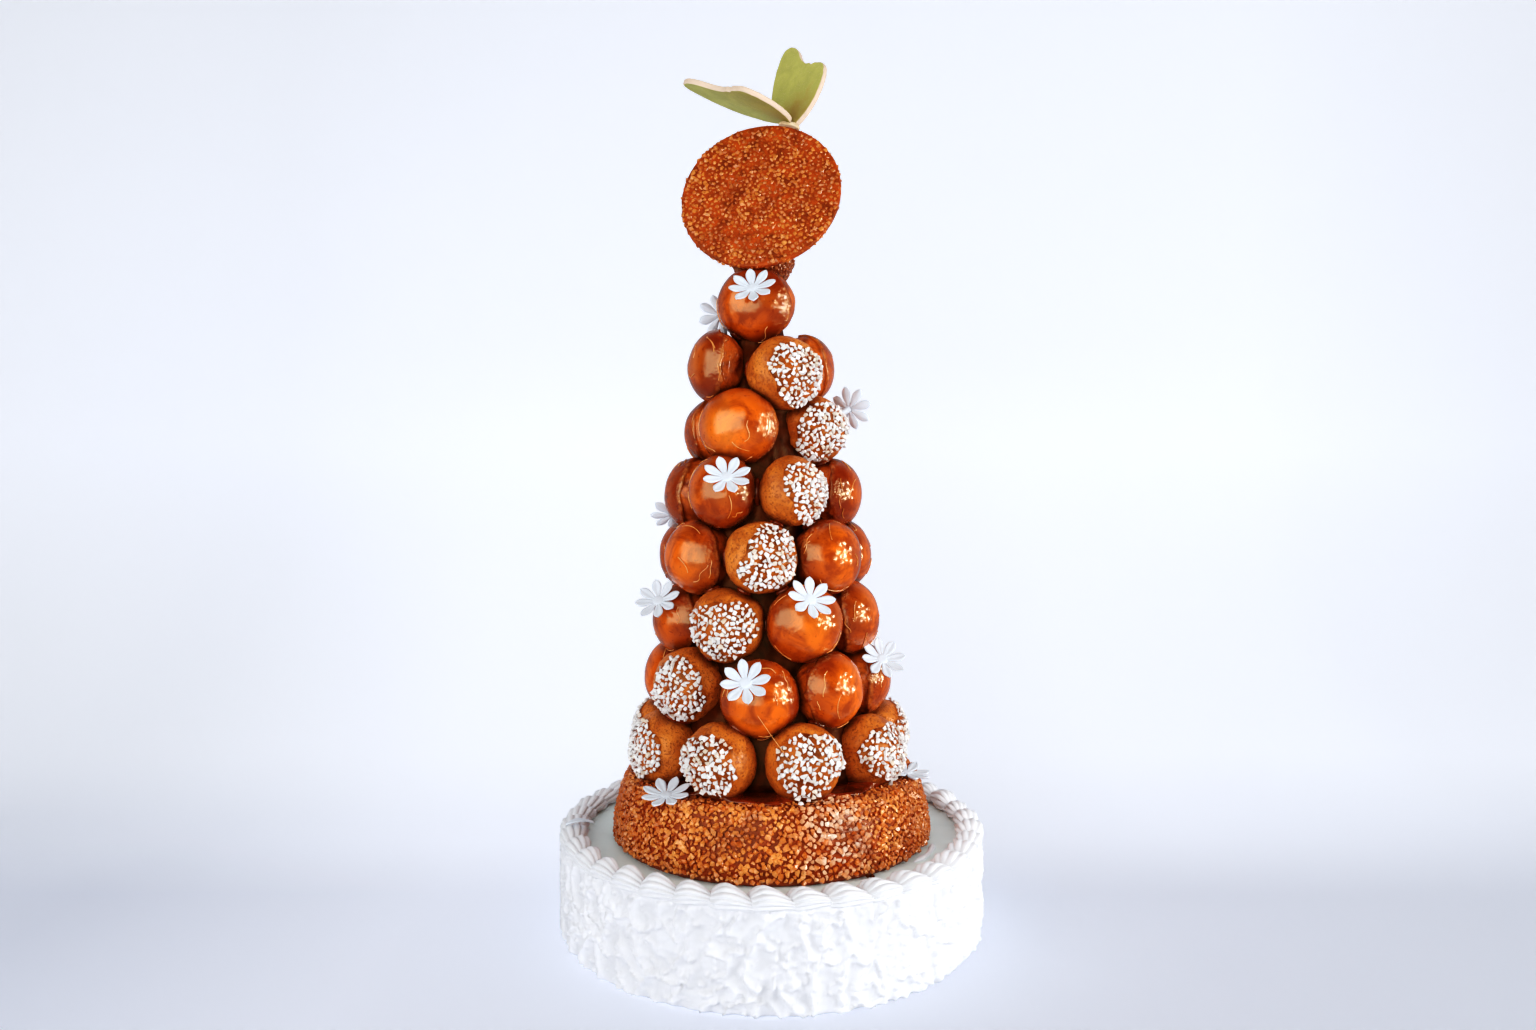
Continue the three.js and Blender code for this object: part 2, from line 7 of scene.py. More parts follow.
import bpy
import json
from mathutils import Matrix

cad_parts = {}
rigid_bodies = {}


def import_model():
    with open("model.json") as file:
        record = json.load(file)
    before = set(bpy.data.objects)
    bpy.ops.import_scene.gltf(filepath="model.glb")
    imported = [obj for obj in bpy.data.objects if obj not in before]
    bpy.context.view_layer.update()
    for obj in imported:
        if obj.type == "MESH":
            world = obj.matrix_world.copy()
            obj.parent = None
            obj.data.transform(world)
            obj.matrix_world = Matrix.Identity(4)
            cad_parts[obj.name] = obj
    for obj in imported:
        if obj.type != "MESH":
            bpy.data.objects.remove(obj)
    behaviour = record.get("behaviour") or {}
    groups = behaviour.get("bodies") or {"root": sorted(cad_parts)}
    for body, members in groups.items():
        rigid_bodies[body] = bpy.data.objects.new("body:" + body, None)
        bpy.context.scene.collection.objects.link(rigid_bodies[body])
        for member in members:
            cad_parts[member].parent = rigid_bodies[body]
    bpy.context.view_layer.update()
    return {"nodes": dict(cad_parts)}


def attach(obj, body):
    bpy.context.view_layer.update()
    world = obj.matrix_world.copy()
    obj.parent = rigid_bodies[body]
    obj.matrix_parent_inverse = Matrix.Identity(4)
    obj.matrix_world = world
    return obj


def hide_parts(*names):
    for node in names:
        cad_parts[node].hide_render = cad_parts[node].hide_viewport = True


bl_info = {
    "name": "Croquembouche",
    "version": (1, 0, 0),
    "blender": (4, 5, 0),
    "location": "View3D > Sidebar > Croquembouche",
    "description": "A tower of caramel and sugared choux puffs with nougatine, icing and gum-paste work",
    "category": "Add Mesh",
}

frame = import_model()

import json
import math

import bmesh
import bpy
import numpy as np
from bpy.props import FloatProperty, FloatVectorProperty, IntProperty, PointerProperty
from mathutils import Matrix, Vector, noise

MM = 0.001
GAP = 0.3  # between solids that touch

# ---- Sizes shared with the solids -----------------------------------------------------------------------

DRUM_RADIUS, DRUM_HEIGHT = 117.2, 46.5
BORDER_RADIUS, BORDER_HEIGHT, BORDER_STRANDS = 108.3, 8.4, 39
NOUGATINE_BOTTOM, NOUGATINE_TOP_RADIUS, NOUGATINE_HEIGHT, NOUGATINE_BULGE = 88.8, 81.0, 34.7, 2.0
NOUGATINE_FOOT = DRUM_HEIGHT + GAP
NOUGATINE_TOP = NOUGATINE_FOOT + NOUGATINE_HEIGHT

PUFF_DEPTH, PUFF_CRAG, PUFF_CONTACT = 0.88, 0.022, 0.925

# Ring radius, height, azimuth of the first puff, mean diameter, and c for caramel or s for sugar nibs.
TIERS = (
    (62.0, 98.5, 17, 39.5, "sssssssss"),
    (51.6, 131.0, -4, 39.5, "cccscccs"),
    (45.5, 165.5, 26, 39.5, "cccsccs"),
    (43.5, 200.5, -2, 38.8, "scccscc"),
    (38.0, 235.2, 29, 38.8, "sccscc"),
    (28.6, 270.5, -24, 39.5, "cssc"),
    (27.0, 303.0, 28, 39.5, "scsc"),
    (13.0, 339.0, -5, 41.0, "c"),
)
LEAN_LOW, LEAN_HIGH = -2, -7

# How single puffs differ from their tier: turn and face in degrees, rise in millimetres, width and depth as
# shares.
OUT_OF_LINE = {
    "1.1": {"face": -5}, "1.2": {"turn": 3, "rise": -1, "face": -16}, "1.8": {"face": 0},
    "1.9": {"face": -8}, "2.1": {"rise": -2, "face": 4},
    "2.2": {"turn": -3, "rise": 1, "face": 12, "width": 0.97}, "2.8": {"turn": -4, "face": 27},
    "3.1": {"rise": 1, "face": -12}, "3.7": {"face": 15}, "4.1": {"face": 22},
    "4.7": {"turn": 1, "face": 4}, "5.1": {"turn": -5, "face": 26, "width": 0.95},
    "5.6": {"turn": -2, "face": 10, "width": 0.93}, "6.1": {"face": 10, "width": 1.07},
    "6.2": {"turn": 13, "face": -50}, "7.1": {"rise": -3, "face": 0}, "7.2": {"rise": 4},
    "7.4": {"rise": 2, "face": -8, "depth": 0.76}, "8.1": {"face": 0, "width": 1.05},
}

# Azimuth and elevation of a coat's middle, from the middle of its puff's flattened face.
OFF_FACE = {
    "8.1": (-18, -15), "7.1": (8, -12), "6.2": (0, -13), "5.1": (-7, -4), "3.7": (0, -4), "2.8": (0, -7),
    "1.1": (0, 5),
}

# How dark a puff's shell is, from 0 to 1. The other shells take theirs from a draw.
TONE = {"8.1": 0.35, "7.1": 0.08, "7.4": 0.4, "6.1": 0.0, "5.6": 0.3, "4.7": 0.1, "4.2": 0.1, "3.1": 0.1,
        "2.1": 0.05, "2.2": 0.1}

DISC_RADIUS, DISC_OVAL, DISC_OVAL_AT, DISC_THICKNESS = 45.5, 0.9, 54, 4.5
DISC_PLACE, DISC_TURN, DISC_LEAN = (-6, -12, 399.8), -7.5, 16.1
CUP_PLACE, CUP_BOTTOM, CUP_TOP, CUP_HEIGHT, CUP_DISH = (-5, -1.2, 356.6), 14.5, 18.4, 10.5, 3.5

BUTTERFLY_PLACE, BUTTERFLY_HEADING, BUTTERFLY_PITCH = (8.8, 0, 445.2), -141.3, 16.9
WING_ROOT_GAP, WING_THICKNESS = 3.3, 3.0
WING_LIFT = {"wing_left": 11, "wing_right": 72}

FLOWER_RADIUS, FLOWER_PETALS, FLOWER_THICKNESS, FLOWER_CUP = 12.6, 8, 1.1, 2.4

# Puff, azimuth and elevation on it, spin, how far the flower stands off it, and the azimuth and elevation
# that it faces.
FLOWERS_ON_PUFFS = (
    ("8.1", -6, 12, 0, 1.6, (-10, 36)), ("8.1", -118, -9, 12, 4, (-152, -4)),
    ("6.2", 118, 28, 5, 8.5, (150, 16)), ("5.6", 7, 20, 20, 2.0, (2, 40)),
    ("5.5", -138, -27, 8, 6.5, (-160, 42)), ("3.1", 11, 41, 10, 1.2, (20, 40)),
    ("3.6", -44, 30, 0, 3.4, (-18, 40)), ("2.3", 38, 34, 15, 3.4, (14, 40)),
    ("2.1", -22, 31, 5, 2.0, (-6, 40)), ("2.5", 176, 30, 0, 0.8, (176, 30)),
    ("6.3", 160, 20, 18, 0.8, (160, 20)),
)

# Node, distance from the centre, azimuth, tilt, azimuth that it tilts towards, and spin.
FLOWERS_ON_RIM = (
    ("flower_rim_left", 80.8, -41, 17, -14, 22), ("flower_rim_right", 76.3, 75, 15, 60, 12),
    ("flower_rim_back", 79, 158, 24, 158, 10),
)
PETAL_RADIUS, PETAL_AZIMUTH, PETAL_LENGTH, PETAL_WIDTH, PETAL_BOW = 106.5, -76, 15, 6, 1.6


# ---- Settings that a user would change ------------------------------------------------------------------


def colour(name, description, default):
    return FloatVectorProperty(
        name=name, description=description, default=default, size=3, min=0, max=1, subtype="COLOR")


def length(name, description, millimetres):
    return FloatProperty(
        name=name, description=description, default=millimetres * MM, min=0, unit="LENGTH", precision=5)


class PuffSettings(bpy.types.PropertyGroup):
    shell_rise: length("Shell thickness", "How far the caramel shell stands off the choux", 1.0)
    shell_colour: colour("Caramel", "Body colour of the caramel shells", (0.88, 0.168, 0.009))
    shell_dark: colour("Dark caramel", "Colour of the shells' darker clouds", (0.20, 0.020, 0.002))
    choux_colour: colour("Choux", "Baked colour of the bare choux", (0.80, 0.255, 0.045))
    choux_dark: colour("Choux freckles", "Colour of the choux's dark freckles", (0.34, 0.075, 0.009))
    nib_spacing: length("Nib spacing", "Least distance between two sugar nibs", 2.35)
    nib_size: length("Nib size", "Mean size of a sugar nib", 3.2)
    nib_colour: colour("Sugar", "Colour of the sugar nibs", (0.84, 0.83, 0.81))


class NougatineSettings(bpy.types.PropertyGroup):
    grain_spacing: length("Grain spacing", "Least distance between two almond grains", 2.2)
    grain_size: length("Grain size", "Mean size of an almond grain", 3.3)
    grain_pale: colour("Pale almond", "Colour of the palest grains", (0.95, 0.40, 0.11))
    grain_dark: colour("Dark almond", "Colour of the darkest grains", (0.62, 0.14, 0.014))
    caramel: colour("Nougatine caramel", "Colour of the caramel between grains", (0.19, 0.029, 0.0025))


class IcingSettings(bpy.types.PropertyGroup):
    stroke: length("Stroke depth", "Depth of the palette-knife strokes on the side", 2.8)
    white: colour("Icing", "Colour of the white icing", (0.86, 0.87, 0.90))
    glaze: colour("Top glaze", "Colour of the flat top inside the border", (0.84, 0.95, 0.93))
    strands: IntProperty(
        name="Shells", description="Number of shells in the border", default=BORDER_STRANDS, min=8, max=80)


class PasteSettings(bpy.types.PropertyGroup):
    flower_white: colour("Flowers", "Colour of the gum-paste flowers", (0.74, 0.80, 0.87))
    wing_green: colour("Wing", "Colour of the wings' faces", (0.42, 0.41, 0.115))
    wing_edge: colour("Wing edge", "Colour of the wings' cut edges", (0.72, 0.56, 0.42))
    # Colour that the wings' faces turn to towards their roots.
    wing_stain: colour("Wing stain", "Brown stain at the wings' roots", (0.30, 0.14, 0.03))


class StageSettings(bpy.types.PropertyGroup):
    softbox: FloatProperty(name="Softbox", description="Radiance of the large softbox", default=2.35, min=0)
    umbrella: FloatProperty(name="Umbrella", description="Radiance of the umbrella's spots", default=50, min=0)
    ceiling: FloatProperty(name="Ceiling", description="Radiance of the pale ceiling", default=0.55, min=0)
    room: FloatProperty(name="Room light", description="Brightness of the pale room", default=0.6, min=0)
    floor: colour("Floor", "Colour of the floor", (0.66, 0.70, 0.82))
    wall: colour("Wall", "Colour of the wall", (0.79, 0.82, 0.89))


# ---- Helpers --------------------------------------------------------------------------------------------

MASK = 0xFFFFFFFF  # the low 32 bits
UP = Vector((0, 0, 1))


def settings(name):
    return getattr(bpy.context.scene.croquembouche, name)


def seeded(seed):
    """Repeatable random numbers from 0 to 1, the same as the solids'."""
    state = seed

    def draw():
        nonlocal state
        state = (state + 0x6D2B79F5) & MASK
        mix = ((state ^ (state >> 15)) * (1 | state)) & MASK
        mix = ((mix + (((mix ^ (mix >> 7)) * (61 | mix)) & MASK)) & MASK) ^ mix
        return (mix ^ (mix >> 14)) / (MASK + 1)

    return draw


def heading(azimuth, elevation=0.0):
    """Unit vector at an azimuth from the front and an elevation above level."""
    turn, rise = math.radians(azimuth), math.radians(elevation)
    return Vector((math.sin(turn) * math.cos(rise), -math.cos(turn) * math.cos(rise), math.sin(rise)))


def smooth(low, high, value):
    share = np.clip((value - low) / (high - low), 0, 1)
    return share * share * (3 - 2 * share)


def wobble(points, size, seed, detail=2):
    """Smooth noise from -1 to 1 at points, with bumps of about the given size."""
    shift = Vector((seed * 7.13, seed * 3.71, seed * 5.39))
    return np.array([noise.fractal(Vector(p) / size + shift, 0.6, 2.1, detail) for p in points])


def scaled(colour, *gains):
    """A colour times one gain or a gain for each channel, kept under 1."""
    gains = gains if len(gains) == 3 else gains * 3
    return tuple(min(1, gain * channel) for gain, channel in zip(gains, colour))


def round_turn(columns):
    """Angles of evenly spaced points round a ring, in radians."""
    return np.arange(columns) * 2 * math.pi / columns


def level_ring(radius, turn, height=0.0):
    return np.stack([radius * np.cos(turn), radius * np.sin(turn), 0 * turn + height], -1)


def band_faces(rings, columns, looped=False):
    """Quads between rings of points that run on from one another, closed round each ring."""
    faces = []
    for ring in range(rings if looped else rings - 1):
        low, high = ring * columns, (ring + 1) % rings * columns
        for i in range(columns):
            j = (i + 1) % columns
            faces.append((low + i, high + i, high + j, low + j))
    return faces


def capped(rings, *ends):
    """Points and faces of a closed shape over rings, with a point that closes each end."""
    columns = len(rings[0])
    faces = band_faces(len(rings), columns)
    first, last = len(rings) * columns, len(rings) * columns + 1
    base = (len(rings) - 1) * columns
    for i in range(columns):
        j = (i + 1) % columns
        faces += [(first, i, j), (last, base + j, base + i)]
    return np.vstack(list(rings) + [[end] for end in ends]), faces


def put_in_scene(name, data):
    thing = bpy.data.objects.new(name, data)
    bpy.context.scene.collection.objects.link(thing)
    return thing


def make_piece(name, points, faces, *finishes, chosen=None, values=None, flat=False):
    """Object at the origin with its place in its mesh. The points are millimetres."""
    mesh = bpy.data.meshes.new(name)
    mesh.from_pydata((np.asarray(points, dtype=float) * MM).tolist(), [], faces)
    for finish in finishes:
        mesh.materials.append(FINISH[finish])
    if chosen is not None:
        mesh.polygons.foreach_set("material_index", chosen)
    if not flat:
        mesh.polygons.foreach_set("use_smooth", [True] * len(mesh.polygons))
    for key, numbers in (values or {}).items():
        mesh.attributes.new(key, "FLOAT", "POINT").data.foreach_set("value", np.asarray(numbers, dtype=float))
    mesh.update()
    return put_in_scene(name, mesh)


def turned_out(piece):
    """Makes the faces of a closed piece point outwards."""
    mesh = bmesh.new()
    mesh.from_mesh(piece.data)
    bmesh.ops.recalc_face_normals(mesh, faces=mesh.faces)
    mesh.to_mesh(piece.data)
    mesh.free()
    return piece


def capped_piece(name, rings, ends, *finishes, **extra):
    return turned_out(make_piece(name, *capped(rings, *ends), *finishes, **extra))


def finish_piece(piece, slot, *nodes):
    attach(piece, "root")
    if nodes:
        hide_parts(*nodes)
    return piece


class Stack:
    """Gathers many small shapes of one kind into one mesh."""

    def __init__(self):
        self.points, self.faces, self.count = [], [], 0

    def add(self, points, faces):
        self.points.append(np.asarray(points, dtype=float))
        self.faces += [tuple(self.count + i for i in face) for face in faces]
        self.count += len(points)

    def piece(self, name, *finishes, **extra):
        return make_piece(name, np.vstack(self.points), self.faces, *finishes, **extra)


# ---- Node trees -----------------------------------------------------------------------------------------

TREES = {}


def tree_from(maker):
    """A node tree, built the first time that it is asked for."""
    if maker not in TREES:
        TREES[maker] = maker()
    return TREES[maker]


def socket_of(sockets, key):
    """A socket by its identifier, or else by its name."""
    return next((socket for socket in sockets if socket.identifier == key), None) or sockets[key]


class Graph:
    """Adds nodes to a tree and feeds their sockets with links or plain values."""

    def __init__(self, tree):
        self.tree = tree

    def add(self, kind, inputs=None, **settings):
        node = self.tree.nodes.new(kind)
        for key, value in settings.items():
            setattr(node, key, value)
        for key, value in (inputs or {}).items():
            self.feed(socket_of(node.inputs, key), value)
        return node

    def feed(self, socket, value):
        if isinstance(value, bpy.types.NodeSocket):
            self.tree.links.new(value, socket)
        elif socket.type == "RGBA":
            socket.default_value = (*value[:3], 1.0)
        else:
            socket.default_value = value

    def math(self, operation, first, second=0.0):
        return self.add("ShaderNodeMath", {"Value": first, "Value_001": second}, operation=operation).outputs[0]

    def mix(self, factor, first, second):
        node = self.add("ShaderNodeMix", {"Factor_Float": factor, "A_Color": first, "B_Color": second},
                        data_type="RGBA")
        return socket_of(node.outputs, "Result_Color")

    def span(self, value, low, high, to_low=0.0, to_high=1.0):
        return self.add("ShaderNodeMapRange", {"Value": value, "From Min": low, "From Max": high,
                                               "To Min": to_low, "To Max": to_high}).outputs[0]

    def texture(self, place, scale, **more):
        return self.add("ShaderNodeTexNoise", {"Vector": place, "Scale": scale, **more}).outputs["Fac"]

    def attribute(self, name):
        return self.add("ShaderNodeAttribute", attribute_name=name).outputs["Fac"]

    def random(self, low, high, seed):
        node = self.add("FunctionNodeRandomValue", {"Min_001": low, "Max_001": high, "Seed": seed},
                        data_type="FLOAT")
        return socket_of(node.outputs, "Value_001")

    def parted(self, vector):
        return self.add("ShaderNodeSeparateXYZ", {"Vector": vector}).outputs


def new_group(name, kind, inputs, outputs):
    """A node group's graph, inputs and outputs. A type stands for each input that has no default."""
    group = bpy.data.node_groups.new(name, kind)
    for key, given in inputs.items():
        form = given if isinstance(given, str) else {int: "Int", float: "Float"}[type(given)]
        socket = group.interface.new_socket(key, in_out="INPUT", socket_type=f"NodeSocket{form}")
        if given != form:
            socket.default_value = given
    for key, form in outputs.items():
        group.interface.new_socket(key, in_out="OUTPUT", socket_type=f"NodeSocket{form}")
    graph = Graph(group)
    return graph, graph.add("NodeGroupInput").outputs, graph.add("NodeGroupOutput").inputs


def clouds_group():
    """Soft clouds and fine freckles, as masks from 0 to 1, and a height that follows both."""
    graph, given, out = new_group(
        "Clouds and freckles", "ShaderNodeTree",
        {"Vector": "Vector", "Cloud Scale": 90.0, "Freckle Scale": 700.0, "Freckle Share": 0.5},
        {"Clouds": "Float", "Freckles": "Float", "Height": "Float"})
    clouds = graph.texture(given["Vector"], given["Cloud Scale"], Detail=4.0, Roughness=0.6, Distortion=0.6)
    fine = graph.texture(given["Vector"], given["Freckle Scale"])
    floor = graph.math("SUBTRACT", 0.72, graph.math("MULTIPLY", given["Freckle Share"], 0.3))
    freckles = graph.span(fine, floor, graph.math("ADD", floor, 0.1))
    graph.feed(out["Clouds"], graph.span(clouds, 0.36, 0.66))
    graph.feed(out["Freckles"], freckles)
    graph.feed(out["Height"], graph.math("SUBTRACT", fine, graph.math("MULTIPLY", freckles, 0.5)))
    return graph.tree


def crease_shade_group():
    """Painted shade where the puffs meet and at the lowest puffs' feet, with darker caramel that has gathered
    there.
    """
    graph, given, out = new_group(
        "Caramel in the creases", "ShaderNodeTree", {"Body": "Color", "Tuck": 0.0, "Clouds": 0.5},
        {"Body": "Color"})
    share = graph.math("MULTIPLY", given["Tuck"], graph.span(given["Clouds"], 0.0, 1.0, 0.85, 0.5))
    graph.feed(out["Body"], graph.mix(share, given["Body"], (0.085, 0.013, 0.0015)))
    return graph.tree


# ---- Finishes -------------------------------------------------------------------------------------------

AMBER, GOLD = (1.0, 0.7, 0.35), (1.0, 0.75, 0.4)  # tints of caramel's shine
# The last of these is the pale colour of a painted reflection on the base's grains.
THIN_CARAMEL, GLOWING_CARAMEL, PAINTED_SHEEN = (0.90, 0.36, 0.10), (0.93, 0.24, 0.025), (0.82, 0.76, 0.66)


class Coat(Graph):
    """A material in the making: object coordinates, the masks of its clouds and freckles, and its shader."""

    def __init__(self, name, *clouds):
        self.material = bpy.data.materials.new(name)
        self.material.use_nodes = True
        self.material.node_tree.nodes.clear()
        super().__init__(self.material.node_tree)
        self.shader = self.add("ShaderNodeBsdfPrincipled")
        self.output = self.add("ShaderNodeOutputMaterial", {"Surface": self.shader.outputs[0]})
        self.place = self.add("ShaderNodeTexCoord").outputs["Object"]
        if clouds:
            sizes = dict(zip(("Cloud Scale", "Freckle Scale", "Freckle Share"), clouds))
            masks = self.group(clouds_group, {"Vector": self.place, **sizes})
            self.clouds, self.freckles, self.height = (masks[key] for key in ("Clouds", "Freckles", "Height"))

    def group(self, maker, inputs):
        return self.add("ShaderNodeGroup", inputs, node_tree=tree_from(maker)).outputs

    def freckled(self, body, share, colour):
        return self.mix(self.math("MULTIPLY", self.freckles, share), body, colour)

    def creased(self, body):
        """A puff's body colour, darker where the puffs meet: painted shade there, and caramel that has
        gathered.
        """
        return self.group(crease_shade_group, {"Body": body, "Tuck": self.attribute("tuck"),
                                          "Clouds": self.clouds})["Body"]

    def finish(self, body, bump=None, height=None, **values):
        """Feeds the shader. A bump is its strength and its depth in metres, over the freckles or a height."""
        for key, value in {"Base_Color": body, **values}.items():
            self.feed(self.shader.inputs[key.replace("_", " ")], value)
        if bump:
            relief = self.add("ShaderNodeBump", {"Height": height or self.height, "Strength": bump[0],
                                                 "Distance": bump[1]})
            self.feed(self.shader.inputs["Normal"], relief.outputs[0])
        return self.material


def two_tone(name, clouds, low, high, bump=None, **values):
    """A material that clouds from one colour to another."""
    coat = Coat(name, *clouds)
    return coat.finish(coat.mix(coat.clouds, low, high), bump, **values)


class Finishes(dict):
    """Every material, made once when it is first asked for."""

    def __missing__(self, name):
        self[name] = getattr(self, name)()
        return self[name]

    def caramel_shell(self):
        """Hard caramel: glossy, cloudy, darker towards the rim where it is thick and as painted shade at the
        shell's edges, and paler at the thin rim.
        """
        puff, coat = settings("puff"), Coat("Caramel shell", 72.0, 520.0, 0.35)
        body = coat.mix(coat.span(coat.clouds, 0.15, 0.75), puff.shell_dark, puff.shell_colour)
        body = coat.mix(0.70, puff.shell_colour, body)
        glow = coat.texture(coat.place, 38.0)
        body = coat.mix(coat.span(glow, 0.52, 0.68, 0.0, 0.55), body, GLOWING_CARAMEL)
        # Darker towards the rim: thicker caramel there, and painted shade at the shell's edges.
        depth = coat.math("ADD", coat.attribute("depth"), coat.math("MULTIPLY", coat.freckles, 0.3))
        body = coat.mix(coat.math("MINIMUM", depth, 0.85), body, puff.shell_dark)
        rim = coat.math("MULTIPLY", coat.attribute("rim"), coat.span(glow, 0.35, 0.65, 0.08, 0.5))
        body = coat.mix(rim, body, THIN_CARAMEL)
        wrinkle = coat.math("MULTIPLY", coat.attribute("wrinkle"), coat.texture(coat.place, 360.0, Detail=3.0))
        body = coat.mix(coat.span(wrinkle, 0.40, 0.60, 0.0, 0.7), body, puff.shell_dark)
        height = coat.math("MULTIPLY", wrinkle, 2.6)
        height = coat.math("ADD", coat.texture(coat.place, 170.0, Detail=4.0), height)
        return coat.finish(coat.creased(body), (0.32, 0.0011), height, Roughness=0.16, IOR=1.9,
                           Specular_Tint=(0.95, 0.78, 0.44), Coat_Weight=0.3, Coat_Roughness=0.07)

    def choux(self):
        """Bare choux: matte to satin, golden with dark freckles and fine wrinkles."""
        puff, coat = settings("puff"), Coat("Choux", 85.0, 760.0, 0.62)
        body = coat.mix(coat.clouds, scaled(puff.choux_colour, 0.62, 0.48, 0.36), puff.choux_colour)
        body = coat.creased(coat.freckled(body, 0.75, puff.choux_dark))
        return coat.finish(body, (0.6, 0.0010), Roughness=coat.span(coat.clouds, 0.0, 1.0, 0.32, 0.46),
                           Specular_Tint=(1.0, 0.8, 0.5), Coat_Weight=0.2, Coat_Roughness=0.18)

    def nib_glue(self):
        """The thin caramel under the nibs, seen between them."""
        coat = Coat("Nib glue", 120.0, 700.0, 0.4)
        body = coat.creased(coat.mix(coat.clouds, (0.16, 0.028, 0.003), (0.52, 0.13, 0.016)))
        return coat.finish(body, (0.3, 0.0005), Roughness=0.35, Specular_Tint=GOLD)

    def glazed_choux(self):
        """Choux beyond a shell's rim, stained and glazed by caramel that ran back over it."""
        puff, coat = settings("puff"), Coat("Glazed choux", 75.0, 640.0, 0.55)
        warm = tuple(0.5 * (a + b) for a, b in zip(puff.choux_colour, puff.shell_colour))
        body = coat.mix(coat.clouds, scaled(puff.shell_dark, 0.8), warm)
        body = coat.creased(coat.freckled(body, 0.5, puff.choux_dark))
        return coat.finish(body, (0.5, 0.0007), Roughness=0.32, Specular_Tint=GOLD, Coat_Weight=0.6,
                           Coat_Roughness=0.08, Coat_Tint=(0.9, 0.7, 0.5))

    def sugar_nib(self):
        """Sugar nibs: white with a few creamy ones, faintly crusty."""
        puff, coat = settings("puff"), Coat("Sugar nib", 300.0, 1500.0, 0.4)
        creamy = coat.math("MULTIPLY", coat.span(coat.attribute("tint"), 0.70, 1.0), 0.75)
        body = coat.mix(creamy, puff.nib_colour, scaled(puff.nib_colour, 0.92, 0.74, 0.52))
        return coat.finish(body, (0.4, 0.0004), Roughness=0.42)

    def nougatine_caramel(self, name="Nougatine caramel", gain=1.9):
        caramel = settings("nougatine").caramel
        return two_tone(name, (120.0, 900.0, 0.5), caramel, scaled(caramel, gain), (0.5, 0.0008),
                        Roughness=0.45, Specular_Tint=AMBER, Coat_Weight=0.15, Coat_Roughness=0.15)

    def disc_caramel(self):
        return self.nougatine_caramel("Disc caramel", 2.7)

    def cup_caramel(self):
        return self.nougatine_caramel("Cup caramel", 0.8)

    def almond_grain(self, name="Almond grain", toast=(1.0, 1.0, 1.0)):
        """Crushed almonds in caramel: each grain has its own depth of brown, some patches are wet, and a pale
        patch at the front is a painted reflection.
        """
        nougatine, coat = settings("nougatine"), Coat(name, 140.0, 1300.0, 0.5)
        dark, pale = scaled(nougatine.grain_dark, *toast), scaled(nougatine.grain_pale, *toast)
        own = coat.math("ADD", coat.math("MULTIPLY", coat.attribute("tint"), 0.6),
                        coat.math("MULTIPLY", coat.clouds, 0.4))
        body = coat.mix(coat.span(own, 0.1, 0.9), dark, pale)
        body = coat.freckled(body, 0.4, nougatine.caramel)
        wet = coat.span(coat.texture(coat.place, 52.0, Detail=3.0), 0.50, 0.64, 0.0, 0.6)
        body = coat.mix(wet, body, scaled(nougatine.caramel, 1.7))
        # Painted reflection of the umbrella: a pale patch at the front of the base.
        painted_sheen = coat.math("MULTIPLY", self.damp_patch(coat), coat.span(own, 0.25, 0.75, 0.0, 0.7))
        body = coat.mix(painted_sheen, body, PAINTED_SHEEN)
        if name == "Almond grain":
            # Painted shade: the base's grains darken towards its left and right sides.
            aside = coat.math("ABSOLUTE", coat.parted(coat.place)["X"])
            body = coat.mix(coat.span(aside, 0.055, 0.086, 0.0, 0.8), body, scaled(dark, 0.7))
        return coat.finish(body, (0.3, 0.0004), Roughness=0.32, IOR=1.6, Specular_Tint=(1.0, 0.8, 0.5),
                           Coat_Weight=0.8, Coat_Roughness=0.2)

    def damp_patch(self, coat):
        """Mask of the pale patch at the front of the base: a painted reflection of the umbrella."""
        shifted = coat.add("ShaderNodeMapping", {"Vector": coat.place, "Location": (-1.36, 2.34, -2.35),
                                                 "Scale": (44.0, 30.0, 34.0)}).outputs[0]
        away = coat.add("ShaderNodeVectorMath", {"Vector": shifted}, operation="LENGTH").outputs["Value"]
        return coat.span(away, 0.3, 1.0, 1.0, 0.0)

    def toasted_grain(self):
        return self.almond_grain("Toasted grain", (0.74, 0.655, 0.53))

    def burnt_grain(self):
        return self.almond_grain("Burnt grain", (0.42, 0.34, 0.40))

    def caramel_pool(self):
        """Caramel that has run and set between the puffs: dark, with a wet gloss."""
        return two_tone("Set caramel", (70.0, 500.0, 0.2), (0.10, 0.010, 0.001), (0.30, 0.040, 0.003),
                        (0.3, 0.0006), Roughness=0.25, Specular_Tint=AMBER, Coat_Weight=0.7,
                        Coat_Roughness=0.05)

    def caramel_web(self):
        """Dull, very dark caramel: painted shade deep between the puffs, and burnt crumbs."""
        return two_tone("Caramel web", (90.0, 500.0, 0.2), (0.03, 0.004, 0.0006), (0.11, 0.016, 0.0015),
                        (0.3, 0.0006), Roughness=0.4, Specular_Tint=(0.9, 0.5, 0.2))

    # Pale caramel, paler than the shells: the threads' own colour with a painted highlight along them.
    def caramel_thread(self):
        return two_tone("Caramel thread", (150.0, 900.0, 0.1), (0.70, 0.20, 0.030), (0.90, 0.48, 0.18),
                        Roughness=0.12, Coat_Weight=1.0, Coat_Roughness=0.03)

    def icing_white(self, name="White icing", gain=1.0):
        white, coat = settings("icing").white, Coat(name, 60.0, 1200.0, 0.5)
        body = coat.mix(coat.clouds, scaled(white, gain), scaled(white, 0.97 * gain))
        # Painted shade in the low parts of the knife strokes, stronger on the left.
        body = coat.mix(coat.attribute("hollow"), body, scaled(white, 0.72))
        return coat.finish(body, (0.18, 0.0004), Roughness=0.5, Coat_Weight=0.15, Coat_Roughness=0.3)

